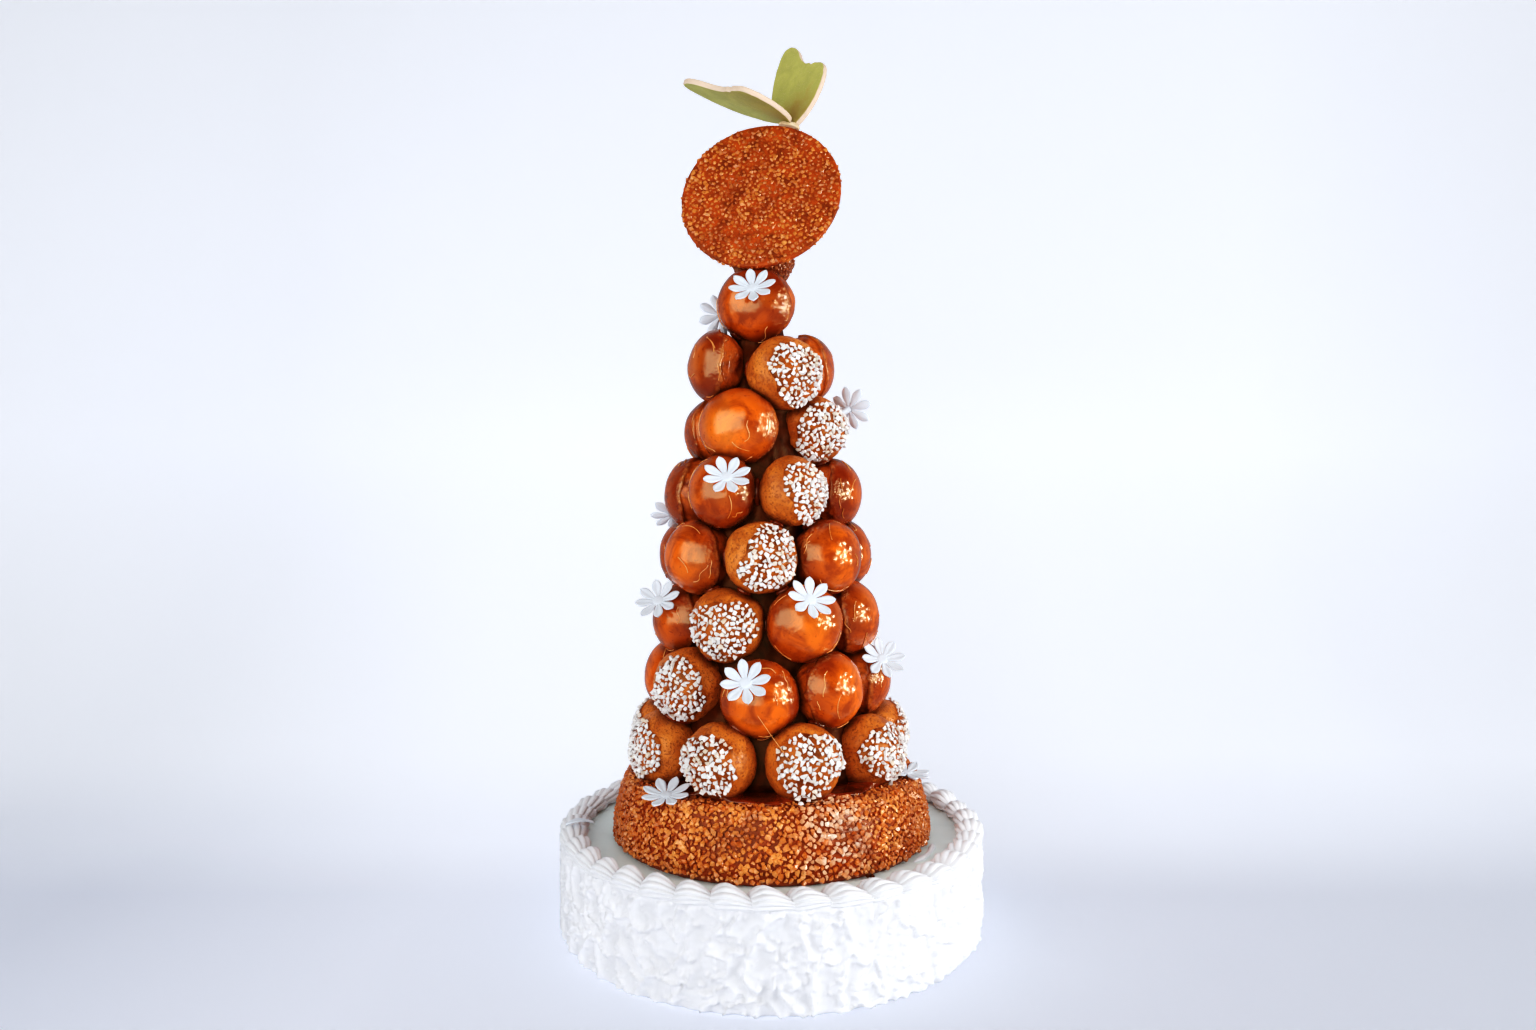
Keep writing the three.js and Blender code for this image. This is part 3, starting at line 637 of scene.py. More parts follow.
    # A darker copy of the white icing: painted shade on the piped border.
    def piped_icing(self):
        return self.icing_white("Piped icing", 0.93)

    def icing_glaze(self):
        """The flat top: smooth icing with faint streaks of the knife."""
        glaze, coat = settings("icing").glaze, Coat("Icing glaze", 30.0, 400.0, 0.3)
        return coat.finish(coat.mix(coat.clouds, glaze, scaled(glaze, 0.94)), (0.25, 0.0008), coat.clouds,
                           Roughness=coat.span(coat.clouds, 0.0, 1.0, 0.38, 0.52), Coat_Weight=0.12,
                           Coat_Roughness=0.2)

    def gum_paste(self):
        white = settings("paste").flower_white
        return two_tone("Gum paste", (140.0, 1600.0, 0.4), white, scaled(white, 0.93), (0.12, 0.0003),
                        Roughness=0.55)

    def wing(self):
        """Wing paste: green faces, pale cut edges, and browner towards the root."""
        paste, coat = settings("paste"), Coat("Wing paste", 110.0, 1400.0, 0.45)
        face = coat.mix(coat.clouds, paste.wing_green, scaled(paste.wing_green, 1.22))
        face = coat.freckled(face, 0.3, paste.wing_edge)
        ragged = coat.math("ADD", coat.attribute("root"), coat.math("MULTIPLY", coat.clouds, 0.35))
        # Browner towards the root, more so on the right wing.
        face = coat.mix(coat.span(ragged, 0.62, 1.25, 0.0, 0.68), face, paste.wing_stain)
        crisp = coat.math("ADD", coat.attribute("edge"), coat.math("MULTIPLY", coat.freckles, 0.15))
        body = coat.mix(coat.span(crisp, 0.45, 0.62), face, paste.wing_edge)
        return coat.finish(body, (0.3, 0.0004), Roughness=0.62)

    def paste_dab(self):
        return two_tone("Paste dab", (200.0, 1500.0, 0.4), (0.82, 0.68, 0.48), (0.70, 0.50, 0.28),
                        (0.2, 0.0003), Roughness=0.6)

    def sweep(self):
        """A matte sweep that lets the eye through from behind. It glows as painted light, paler to the right
        and brighter low near the middle, and looks dimmer in reflections.
        """
        stage, coat = settings("stage"), Coat("Sweep")
        at = coat.parted(coat.place)
        wall = coat.span(at["Y"], 0.02, 0.26)
        # Painted light: a faint glow low on the wall near the middle, for light thrown back from the tower.
        foot = coat.math("MULTIPLY", coat.span(coat.math("ABSOLUTE", at["X"]), 0.28, 0.56, 0.11, 0.0),
                         coat.span(at["Z"], 0.05, 0.4, 1.0, 0.0))
        foot = coat.math("MULTIPLY", foot, coat.span(at["Y"], 0.02, 0.11))
        # Painted light: the sweep glows, more towards the right, where the umbrella's light is kept off it.
        light = coat.span(wall, 0.0, 1.0, coat.span(at["X"], -0.40, -0.20, 0.21, 0.40),
                          coat.span(at["X"], -0.5, 0.5, 0.33, 0.68))
        light = coat.math("ADD", light, foot)
        mottle = coat.span(coat.texture(coat.place, 4.0), 0.3, 0.7, 0.0, 0.06)
        body = coat.mix(mottle, coat.mix(wall, stage.floor, stage.wall), (1.0, 1.0, 1.0))
        coat.finish(body, Roughness=0.9, Emission_Color=coat.mix(light, (0.0, 0.0, 0.0), stage.wall),
                    Emission_Strength=1.0)
        # Painted reflection: glossy rays see the sweep dimmer than it is.
        glossy = coat.math("MULTIPLY", coat.add("ShaderNodeLightPath").outputs["Is Glossy Ray"], 0.65)
        unlit = coat.add("ShaderNodeEmission", {"Strength": 0.0}).outputs[0]
        dim = coat.add("ShaderNodeMixShader", {"Fac": glossy, "Shader": coat.shader.outputs[0],
                                               "Shader_001": unlit}).outputs[0]
        behind = coat.add("ShaderNodeNewGeometry").outputs["Backfacing"]
        clear = coat.add("ShaderNodeBsdfTransparent").outputs[0]
        both = coat.add("ShaderNodeMixShader", {"Fac": behind, "Shader": dim, "Shader_001": clear}).outputs[0]
        coat.feed(coat.output.inputs["Surface"], both)
        return coat.material


FINISH = Finishes()


# ---- Geometry Nodes -------------------------------------------------------------------------------------


def close_tree(graph, out, geometry, finish):
    real = graph.add("GeometryNodeRealizeInstances", {"Geometry": geometry})
    done = graph.add("GeometryNodeSetMaterial", {"Geometry": real.outputs[0], "Material": finish})
    graph.feed(out["Geometry"], done.outputs[0])
    return graph.tree


def scatter_tree():
    """Chips of a collection set at random over a surface, none nearer to another than the spacing."""
    graph, given, out = new_group(
        "Scattered chips", "GeometryNodeTree",
        {"Geometry": "Geometry", "Chips": "Collection", "Spacing": 0.002, "Size": 0.003, "Spread": 0.25,
         "Lift": 0.0, "Tilt": 0.6, "Seed": 1, "Finish": "Material"}, {"Geometry": "Geometry"})
    spread = graph.add("GeometryNodeDistributePointsOnFaces", {
        "Mesh": given["Geometry"], "Distance Min": given["Spacing"], "Density Max": 4.0e6,
        "Seed": given["Seed"]}, distribute_method="POISSON").outputs
    rise = graph.add("ShaderNodeVectorMath", {"Vector": spread["Normal"], "Scale": given["Lift"]},
                     operation="SCALE")
    moved = graph.add("GeometryNodeSetPosition", {"Geometry": spread["Points"], "Offset": rise.outputs[0]})
    tilt = graph.add("ShaderNodeCombineXYZ", {"X": given["Tilt"], "Y": given["Tilt"], "Z": math.pi}).outputs[0]
    back = graph.add("ShaderNodeVectorMath", {"Vector": tilt, "Scale": -1.0}, operation="SCALE").outputs[0]
    turn = graph.add("FunctionNodeRandomValue", {"Min": back, "Max": tilt, "Seed": given["Seed"]},
                     data_type="FLOAT_VECTOR")
    local = graph.add("FunctionNodeEulerToRotation", {"Euler": turn.outputs[0]})
    rotation = graph.add("FunctionNodeRotateRotation", {
        "Rotation": spread["Rotation"], "Rotate By": local.outputs[0]}, rotation_space="LOCAL")
    least, most = (graph.math("MULTIPLY", given["Size"], graph.math(way, 1.0, given["Spread"]))
                   for way in ("SUBTRACT", "ADD"))
    chips = graph.add("GeometryNodeCollectionInfo", {
        "Collection": given["Chips"], "Separate Children": True, "Reset Children": True})
    laid = graph.add("GeometryNodeInstanceOnPoints", {
        "Points": moved.outputs[0], "Instance": chips.outputs[0], "Pick Instance": True,
        "Rotation": rotation.outputs[0],
        "Scale": graph.random(least, most, graph.math("ADD", given["Seed"], 7.0))})
    named = graph.add("GeometryNodeStoreNamedAttribute", {
        "Geometry": laid.outputs[0], "Name": "tint",
        "Value": graph.random(0.0, 1.0, graph.math("ADD", given["Seed"], 19.0))},
        data_type="FLOAT", domain="INSTANCE")
    return close_tree(graph, out, named.outputs[0], given["Finish"])


def ring_tree():
    """One piece repeated round a level circle, each turned to its place and a little unlike the next."""
    graph, given, out = new_group(
        "Ring of shells", "GeometryNodeTree",
        {"Geometry": "Geometry", "Shell": "Object", "Count": 12, "Radius": 0.1, "Height": 0.0, "Unlike": 0.05,
         "Seed": 1, "Finish": "Material"}, {"Geometry": "Geometry"})
    circle = graph.add("GeometryNodeMeshCircle", {"Vertices": given["Count"], "Radius": given["Radius"]})
    rise = graph.add("ShaderNodeCombineXYZ", {"Z": given["Height"]})
    placed = graph.add("GeometryNodeSetPosition", {"Geometry": circle.outputs[0], "Offset": rise.outputs[0]})
    index = graph.add("GeometryNodeInputIndex").outputs[0]
    share = graph.math("DIVIDE", graph.math("MULTIPLY", index, 2 * math.pi), given["Count"])
    sway = graph.random(graph.math("SUBTRACT", 0.0, given["Unlike"]), given["Unlike"], given["Seed"])
    euler = graph.add("ShaderNodeCombineXYZ", {"X": sway, "Z": graph.math("ADD", share, sway)})
    rotation = graph.add("FunctionNodeEulerToRotation", {"Euler": euler.outputs[0]})
    least, most = (graph.math(way, 1.0, given["Unlike"]) for way in ("SUBTRACT", "ADD"))
    shell = graph.add("GeometryNodeObjectInfo", {"Object": given["Shell"]})
    laid = graph.add("GeometryNodeInstanceOnPoints", {
        "Points": placed.outputs[0], "Instance": shell.outputs["Geometry"], "Rotation": rotation.outputs[0],
        "Scale": graph.random(least, most, graph.math("ADD", given["Seed"], 5.0))})
    return close_tree(graph, out, laid.outputs[0], given["Finish"])


def thread_tree():
    """A round thread along each run of edges."""
    graph, given, out = new_group(
        "Drawn threads", "GeometryNodeTree",
        {"Geometry": "Geometry", "Thickness": 0.0004, "Finish": "Material"}, {"Geometry": "Geometry"})
    paths = graph.add("GeometryNodeMeshToCurve", {"Mesh": given["Geometry"]})
    outline = graph.add("GeometryNodeCurvePrimitiveCircle", {
        "Resolution": 6, "Radius": graph.math("MULTIPLY", given["Thickness"], 0.5)})
    drawn = graph.add("GeometryNodeCurveToMesh", {
        "Curve": paths.outputs[0], "Profile Curve": outline.outputs[0], "Fill Caps": True})
    return close_tree(graph, out, drawn.outputs[0], given["Finish"])


def grown(name, maker, carrier, finish, **inputs):
    """Runs a node tree on a carrier object and keeps the result as a plain mesh of that name."""
    tree = tree_from(maker)
    inputs["Finish"] = FINISH[finish]
    modifier = carrier.modifiers.new("Growth", "NODES")
    modifier.node_group = tree
    for item in tree.interface.items_tree:
        if item.item_type == "SOCKET" and item.in_out == "INPUT" and item.name in inputs:
            modifier[item.identifier] = inputs[item.name]
    depsgraph = bpy.context.evaluated_depsgraph_get()
    mesh = bpy.data.meshes.new_from_object(carrier.evaluated_get(depsgraph))
    mesh.name = name
    if not mesh.polygons:
        raise RuntimeError(f"{name}: the tree made nothing")
    carrier.modifiers.remove(modifier)
    bpy.data.objects.remove(carrier)
    return put_in_scene(name, mesh)


def chip_collection(name, kinds, proportions, corners, roundness):
    """A few angular chips about one unit across, kept out of the scene."""
    group = bpy.data.collections.new(name)
    for kind in range(kinds):
        random = seeded(911 + 17 * kind + corners)
        mesh = bmesh.new()
        for _ in range(corners):
            level = 2 * random() - 1
            turn = 2 * math.pi * random()
            aside = math.sqrt(1 - level * level)
            reach = 0.5 * (roundness + (1 - roundness) * random())
            point = (aside * math.cos(turn), aside * math.sin(turn), level)
            mesh.verts.new([reach * c * p * (0.85 + 0.3 * random()) for c, p in zip(point, proportions)])
        hull = bmesh.ops.convex_hull(mesh, input=mesh.verts)
        spare = {v for v in hull["geom_interior"] + hull["geom_unused"] if isinstance(v, bmesh.types.BMVert)}
        bmesh.ops.delete(mesh, geom=list(spare), context="VERTS")
        bmesh.ops.recalc_face_normals(mesh, faces=mesh.faces)
        data = bpy.data.meshes.new(f"{name} {kind}")
        mesh.to_mesh(data)
        mesh.free()
        group.objects.link(bpy.data.objects.new(f"{name} {kind}", data))
    return group


def scattered(name, bed, finish, chips, **inputs):
    """Chips of a few kinds over a bed. They are its only use, so they are removed with it."""
    group = chip_collection(f"{name}_chips", *chips)
    piece = grown(name, scatter_tree, bed, finish, Chips=group, **inputs)
    for chip in list(group.objects):
        bpy.data.objects.remove(chip)
    bpy.data.collections.remove(group)
    return piece


# ---- Puffs ----------------------------------------------------------------------------------------------

SHELL_POLAR, NIB_POLAR = 84.0, 55.0  # degrees from a coat's middle to its rim
NIB_GLUE = 0.45  # thickness of the caramel under the nibs
COAT_STEP = 0.8  # degrees over which a coat drops to the choux at its rim
PRESS_SOFTNESS = 0.7  # how gently a flat that a neighbour pressed rounds off
PUFF_COLUMNS = 84


def axes_about(along):
    """Rows of three axes: the level one across a direction, the direction, and the one across both."""
    across = along.cross(UP).normalized()
    return np.array([across, along, across.cross(along)])


class Puff:
    """One choux ball of the tower: where it is, which way its dipped face looks and what presses on it."""

    def __init__(self, label, finish, size, depth, width, centre, face, seed):
        self.label, self.finish, self.size, self.depth, self.width = label, finish, size, depth, width
        self.centre, self.seed = centre, seed
        self.node = "choux_t" + label.replace(".", "_")
        self.basis = axes_about(face)
        turn, rise = OFF_FACE.get(label, (0, 0))
        self.dipped = heading(math.degrees(math.atan2(face.x, -face.y)) + turn,
                              math.degrees(math.asin(face.z)) + rise)
        self.coat = axes_about(self.dipped)
        self.pressed, self.near, self.waves = [], [], []
        random = seeded(7 + seed)
        for _ in range(5):
            axis = Vector((random() - 0.5, random() - 0.5, random() - 0.5)).normalized()
            self.waves.append((np.array(axis * (3 + 3 * random())), 2 * math.pi * random()))

    @property
    def lowest(self):
        return self.label.startswith("1.")

    @property
    def outward(self):
        """Azimuth at which the puff looks out of the tower."""
        return math.degrees(math.atan2(self.centre.x + 4, -self.centre.y))

    def towards(self, other):
        """The way to another puff's centre, and how far along it the two balls cross."""
        away = other.centre - self.centre
        return away, (away.length_squared + (self.size ** 2 - other.size ** 2) / 4) / (2 * away.length)

    def out(self, polar, turn):
        """Unit vectors at polar angles from the coat's middle and turns round it, in radians."""
        local = np.stack([np.sin(polar) * np.sin(turn), np.cos(polar), np.sin(polar) * np.cos(turn)], -1)
        return local @ self.coat

    def surface(self, polar, turn, rise=0.0, crag=1.0):
        """Points of the skin, flattened a little where a neighbour presses."""
        unit = self.out(polar, turn)
        local = unit @ self.basis.T
        squash = 1 / np.sqrt((local[..., 1] / self.depth) ** 2 + (local[..., 0] / self.width) ** 2
                             + local[..., 2] ** 2)
        radius = self.size / 2
        waves = sum(np.sin(unit @ axis + phase) for axis, phase in self.waves)
        reach = radius * squash + crag * radius * PUFF_CRAG * waves * 0.5 + rise
        for normal, limit in self.pressed:
            towards = unit @ np.array(normal)
            stop = np.where(towards > 0.2, limit / np.maximum(towards, 0.2), 1e3)
            over = (reach - stop) / PRESS_SOFTNESS
            reach = reach - PRESS_SOFTNESS * np.logaddexp(0, np.clip(over, -30, 30))
        return unit * reach[..., None] + np.array(self.centre)

    def spot(self, azimuth, elevation, rise=0.9):
        """A point over the skin at an azimuth and elevation from the puff's middle."""
        out = heading(azimuth, elevation)
        polar = math.acos(max(-1, min(1, out.dot(self.dipped))))
        local = self.coat @ np.array(out)
        return Vector(self.surface(np.array([polar]), np.array([math.atan2(local[0], local[2])]), rise)[0])


def axis_x(height):
    """The tower's axis leans a little to the left on its way up."""
    low, high = TIERS[0][1], TIERS[-1][1]
    return LEAN_LOW + (LEAN_HIGH - LEAN_LOW) * (height - low) / (high - low)


def rest_height(centre, size, below):
    """Height at which a puff comes to rest on those of the tier below."""
    height = 0.0
    for other in below:
        reach = PUFF_CONTACT * (size + other.size) / 2
        aside = math.hypot(centre.x - other.centre.x, centre.y - other.centre.y)
        if aside < reach:
            height = max(height, other.centre.z + math.sqrt(reach * reach - aside * aside))
    return height


def stack_puffs():
    """The puffs in their tiers, each pressed flat where it meets another, the base, the cup or the disc."""
    random = seeded(5)
    puffs, below = [], []
    for t, (ring, height, start, mean, finishes) in enumerate(TIERS):
        tier = []
        for k, finish in enumerate(finishes):
            label = f"{t + 1}.{k + 1}"
            own = OUT_OF_LINE.get(label, {})
            face_turn = own["face"] if "face" in own else 24 * (random() - 0.5)
            azimuth = start + 360 * k / len(finishes) + own.get("turn", 0)
            size = mean * (1 + 0.04 * (random() - 0.5))
            centre = heading(azimuth) * ring
            centre.x += axis_x(height)
            centre.z = max(height + own.get("rise", 0), rest_height(centre, size, below))
            face = heading(azimuth + face_turn, 3 + 8 * (random() - 0.5))
            tier.append(Puff(label, finish, size, own.get("depth", PUFF_DEPTH), own.get("width", 1),
                             centre, face, 100 * t + k))
        puffs += tier
        below = tier
    for puff in puffs:
        for other in [other for other in puffs if other is not puff]:
            away, share = puff.towards(other)
            if away.length < 0.6 * (puff.size + other.size):
                puff.pressed.append((away.normalized(), share - GAP / 2))
                puff.near.append((np.array(other.centre), other.size / 2))
        if puff.lowest:
            puff.pressed.append((-UP, puff.centre.z - NOUGATINE_TOP - GAP))
    top = puffs[-1]
    foot = heading(DISC_TURN, DISC_LEAN - 90) * DISC_RADIUS + Vector(DISC_PLACE) - top.centre
    top.pressed.append((UP, CUP_PLACE[2] - GAP - top.centre.z))
    top.pressed.append((foot.normalized(), foot.length - 0.14 * DISC_THICKNESS - GAP))
    return puffs


PUFFS = stack_puffs()
PUFF_NAMED = {puff.label: puff for puff in PUFFS}


def rippled(value, turn, random, *waves):
    """A value with waves round a ring added to it: how many they are, and how high."""
    for count, height in waves:
        value = value + height * np.sin(count * turn + 6.3 * random())
    return value


def rim_polar(puff, turn, inner=0.0):
    """Polar angle of the dipped coat's edge round the puff, with a few points where it ran."""
    random = seeded(40 + puff.seed)
    if puff.finish == "s":
        polar = rippled(NIB_POLAR + 1.0 - inner, turn, random, (2, 5.5), (3, 4.2), (7, 2.6))
    else:
        polar = rippled(SHELL_POLAR - inner, turn, random, (2, 2.6), (5, 1.5), (11, 0.8))
        for _ in range(2):
            off = np.angle(np.exp(1j * (turn - 6.3 * random())))
            polar = polar + (3 + 6 * random()) * np.exp(-(off / 0.09) ** 2)
    return np.radians(polar)


def puff_piece(puff):
    """A choux ball with its coat of caramel: one closed skin with a crisp step at the coat's rim."""
    caramel = puff.finish == "c"
    turn = round_turn(PUFF_COLUMNS)
    rim = rim_polar(puff, turn)
    step = np.radians(COAT_STEP)
    fringe = rim + step
    rise = settings("puff").shell_rise / MM if caramel else NIB_GLUE
    tone = TONE.get(puff.label, 0.45 * seeded(70 + puff.seed)())
    rows = []  # points, rim, depth, wrinkle and material of each ring
    # A ring's depth darkens the shell towards the rim: thicker caramel, and painted shade at the edges.
    for share in np.linspace(0.05, 1, 20) if caramel else np.linspace(0.06, 1, 12):
        skin = puff.surface(rim * share, turn, 0.0, 0.35 if caramel else 0.8)
        swell = 0.35 * wobble(skin, 11.0, puff.seed, 1) * (1 - share ** 6)
        lip = 0.15 * smooth(0.92, 0.985, share) if caramel else 0.0
        rows.append((skin + puff.out(rim * share, turn) * (rise + swell + lip)[:, None],
                     smooth(0.89, 0.985, share) if caramel else 0.0, tone + 0.5 * smooth(0.35, 0.85, share),
                     smooth(0.72, 0.95, share), 0))
    skin = puff.surface(fringe, turn)
    rows.append((skin + puff.out(fringe, turn) * (0.45 * rise), float(caramel), tone, 0, 0))
    for share in np.linspace(0.012, 0.965, 24):
        polar = fringe + (math.pi - rim - step) * share
        skin = puff.surface(polar, turn)
        crags = 0.42 * wobble(skin, 5.5, puff.seed + 3, 3) - 0.1
        pits = -0.35 * smooth(0.25, 0.6, wobble(skin, 2.4, puff.seed + 9, 1))
        rows.append((skin + puff.out(polar, turn) * (crags + pits)[:, None], 0, tone, 0, 1))
    rings, rims, depths, wrinkles, bands = zip(*rows)
    front = puff.surface(np.zeros(1), np.zeros(1))[0] + np.array(puff.dipped) * rise
    back = puff.surface(np.full(1, math.pi), np.zeros(1))[0]
    points, faces = capped(rings, front, back)
    values = {key: np.append(np.repeat(marks, PUFF_COLUMNS), [end, end]) for key, marks, end in
              (("rim", rims, 0), ("depth", depths, tone), ("wrinkle", wrinkles, 0))}
    # Painted shade: how near each point lies to another puff or to the nougatine's top, which darkens its
    # colour there.
    tuck = np.zeros(len(points))
    for centre, radius in puff.near:
        tuck = np.maximum(tuck, smooth(6.5, 0.8, np.linalg.norm(points - centre, axis=1) - radius))
    if puff.lowest:
        tuck = np.maximum(tuck, smooth(8.0, 2.0, points[:, 2] - NOUGATINE_TOP))
    values["tuck"] = tuck
    return make_piece(puff.node.replace("choux_", "puff_"), points, faces,
                      *(("caramel_shell", "glazed_choux") if caramel else ("nib_glue", "choux")),
                      chosen=np.repeat(bands[1:], PUFF_COLUMNS).tolist() + [0, 1] * PUFF_COLUMNS, values=values)


def nib_bed():
    """The surface inside each sugared cap, on which the nibs are set."""
    stack, columns, rows = Stack(), 36, 9
    turn = round_turn(columns)
    for puff in PUFFS:
        if puff.finish == "s":
            polar = rim_polar(puff, turn, inner=2.5)
            rings = [puff.surface(polar * share, turn, NIB_GLUE) for share in np.linspace(0.03, 1, rows)]
            stack.add(np.vstack(rings), band_faces(rows, columns))
    return stack.piece("nib_bed")


# ---- Caramel that glues the tower -----------------------------------------------------------------------

FILLET_HALF = 1.9  # half a fillet's width along the line between two puffs
FILLET_GAP = 1.8  # widest gap between two puffs that a fillet bridges
POOL_RADIUS, POOL_MIDDLE = 71.0, 24  # mean radius of the pool's edge, and of its innermost ring
LONGEST_STRING, SHELL_STRINGS, LONG_SHELL_STRINGS = 34, 7, 2


def glue_piece():
    """A ragged fillet of caramel round each place where two puffs meet."""
    stack, columns = Stack(), 22
    turn = round_turn(columns)
    for i, puff in enumerate(PUFFS):
        for other in PUFFS[i + 1:]:
            away, share = puff.towards(other)
            if away.length > (puff.size + other.size) / 2 + FILLET_GAP:
                continue
            axis = away.normalized()
            side = axis.cross(UP).normalized()
            rise = side.cross(axis)
            random = seeded(300 + 7 * i + other.seed)
            meet = math.sqrt(max((puff.size / 2) ** 2 - share ** 2, 9.0))
            ragged = 1 + 0.35 * np.sin(2 * turn + 6.3 * random()) * random()
            ragged = ragged + 0.3 * np.sin(5 * turn + 6.3 * random()) * random()
            rings = []
            for row in range(7):
                step = row / 3 - 1
                bulge = meet - 0.9 + (FILLET_HALF * (1 - abs(step) ** 1.6) + 0.5 * abs(step)) * ragged
                if abs(step) == 1:
                    bulge = np.full(columns, max(meet - 1.2, 1.0))
                middle = puff.centre + axis * (share + step * FILLET_HALF)
                rings.append([middle + (side * math.cos(angle) + rise * math.sin(angle)) * reach
                              for angle, reach in zip(turn, bulge)])
            ends = [puff.centre + axis * (share + end * FILLET_HALF) for end in (-1, 1)]
            stack.add(*capped(rings, *ends))
    return turned_out(stack.piece("caramel_glue", "caramel_pool"))


def pool_piece():
    """Caramel that ran down and set on the nougatine, climbing a little up the puffs' feet."""
    turn, rings = round_turn(200), 44
    feet = [(puff.centre, math.sqrt(max((puff.size / 2) ** 2 - (puff.centre.z - NOUGATINE_TOP) ** 2, 1)))
            for puff in PUFFS if puff.lowest]
    edge = POOL_RADIUS + 1.6 * np.sin(3 * turn + 1) + 1.4 * np.sin(8 * turn + 2) + 0.9 * np.sin(19 * turn)
    upper = []
    for share in [(ring + 1) / rings for ring in range(rings)]:
        radius = POOL_MIDDLE + (edge - POOL_MIDDLE) * share
        flat = level_ring(radius, turn)
        lift = 1.25 + 0.35 * wobble(flat, 9.0, 4, 2)
        for centre, foot in feet:
            off = np.hypot(flat[:, 0] - centre.x, flat[:, 1] - centre.y) - foot - 1.0
            lift = lift + 3.0 * np.exp(-np.maximum(off, 0) / 1.5)
        if share > 0.96:
            lift = np.minimum(lift, 4.2) * np.sqrt(np.clip((1 - share) / 0.035, 0, 1))
        upper.append(level_ring(radius, turn, NOUGATINE_TOP - 0.1 + lift))
    bottom = (0, 0, NOUGATINE_TOP - 0.3)
    under = [level_ring(edge, turn) * share + bottom for share in (0.995, 0.4)]
    return capped_piece("caramel_pool", upper + under, ((0, 0, NOUGATINE_TOP + 1), bottom), "caramel_pool")


def shade_sleeve_piece():
    """One crumpled dark sleeve inside the tower that closes the gaps between the puffs: painted shade in the
    gaps, in place of caramel webs.
    """
    turn, rows, thickness = round_turn(110), 60, 1.4
    heights = [tier[1] for tier in TIERS]
    reaches = [tier[0] - 5 for tier in TIERS[:-1]] + [9]
    outer, inner = [], []
    for row in range(rows):
        z = NOUGATINE_TOP + 1 + (heights[-1] - 12 - NOUGATINE_TOP) * row / (rows - 1)
        reach, aside = np.interp(z, heights, reaches), (axis_x(z), 0, 0)
        crumpled = reach + 2.6 * wobble(level_ring(reach, turn, z) + aside, 11.0, 61, 3)
        outer.append(level_ring(crumpled, turn, z) + aside)
        inner.append(level_ring(crumpled - thickness, turn, z) + aside)
    faces = band_faces(2 * rows, len(turn), looped=True)
    return turned_out(make_piece("caramel_webs", np.vstack(outer + inner[::-1]), faces, "caramel_web"))


class Runs:
    """Gathers runs of edges, along which threads are drawn."""

    def __init__(self):
        self.points, self.edges = [], []

    def add(self, path):
        first = len(self.points)
        self.points += path
        self.edges += [(first + i, first + i + 1) for i in range(len(path) - 1)]

    def carrier(self, name):
        mesh = bpy.data.meshes.new(name)
        mesh.from_pydata([point * MM for point in self.points], self.edges, [])
        return put_in_scene(name, mesh)


def hanging(start, end, sag, sway, count=14):
    """Points of a string that hangs between two points."""
    path = []
    for step in range(count):
        share = step / (count - 1)
        hang = 4 * share * (1 - share)
        path.append(start.lerp(end, share) + Vector((sway * hang, 0, -sag * hang)))
    return path


def strings_between():
    """Hair-thin strings drawn from puff to puff and from the lowest ones down to the nougatine."""
    random, runs = seeded(77), Runs()
    for puff in PUFFS:
        near = sorted((other for other in PUFFS if other is not puff),
                      key=lambda other: (other.centre - puff.centre).length)[:5]
        for other in near:
            if other.seed < puff.seed or random() < 0.25:
                continue
            start = puff.spot(puff.outward + 70 * (random() - 0.5), 50 * (random() - 0.6))
            end = other.spot(other.outward + 70 * (random() - 0.5), 50 * (random() - 0.4))
            if (end - start).length < LONGEST_STRING:
                runs.add(hanging(start, end, 0.6 + 1.2 * random(), 1.6 * (random() - 0.5)))
        if puff.lowest and random() < 0.8:
            start = puff.spot(puff.outward + 40 * (random() - 0.5), -30)
            foot = heading(puff.outward + 12 * (random() - 0.5)) * (70 + 6 * random())
            foot.z = NOUGATINE_TOP + 1
            runs.add(hanging(start, foot, 0, 1.5 * (random() - 0.5)))
    return runs.carrier("string_runs")


def strings_on_shells():
    """Raised pale strings that lie on the caramel shells, partly caramel strings and partly painted highlights:
    two long ones on the face and more near the rim.
    """
    random, runs, steps = seeded(123), Runs(), np.linspace(0, 1, 18)
    for puff in [puff for puff in PUFFS if puff.finish == "c"]:
        for k in range(SHELL_STRINGS):
            long = k < LONG_SHELL_STRINGS
            turn = 2 * math.pi * random()
            polar = math.radians(20 + 45 * random() if long else 58 + 20 * random())
            bend, span = (0.9 if long else 0.35) * (random() - 0.5), 0.15 + 0.55 * random()
            curl = 0.05 * random() * np.sin(6 + 9 * random() * steps)
            path = puff.surface(np.clip(polar + bend * (steps - 0.5) + curl, 0.05, 1.38),
                                turn + span * (steps - 0.5) / math.sin(polar), 1.15, 0.35)
            runs.add([Vector(point) for point in path])
    return runs.carrier("string_runs")


# ---- Flowers --------------------------------------------------------------------------------------------


BLOOM_HOLE = 1.6  # distance of a petal's root from the middle of its flower


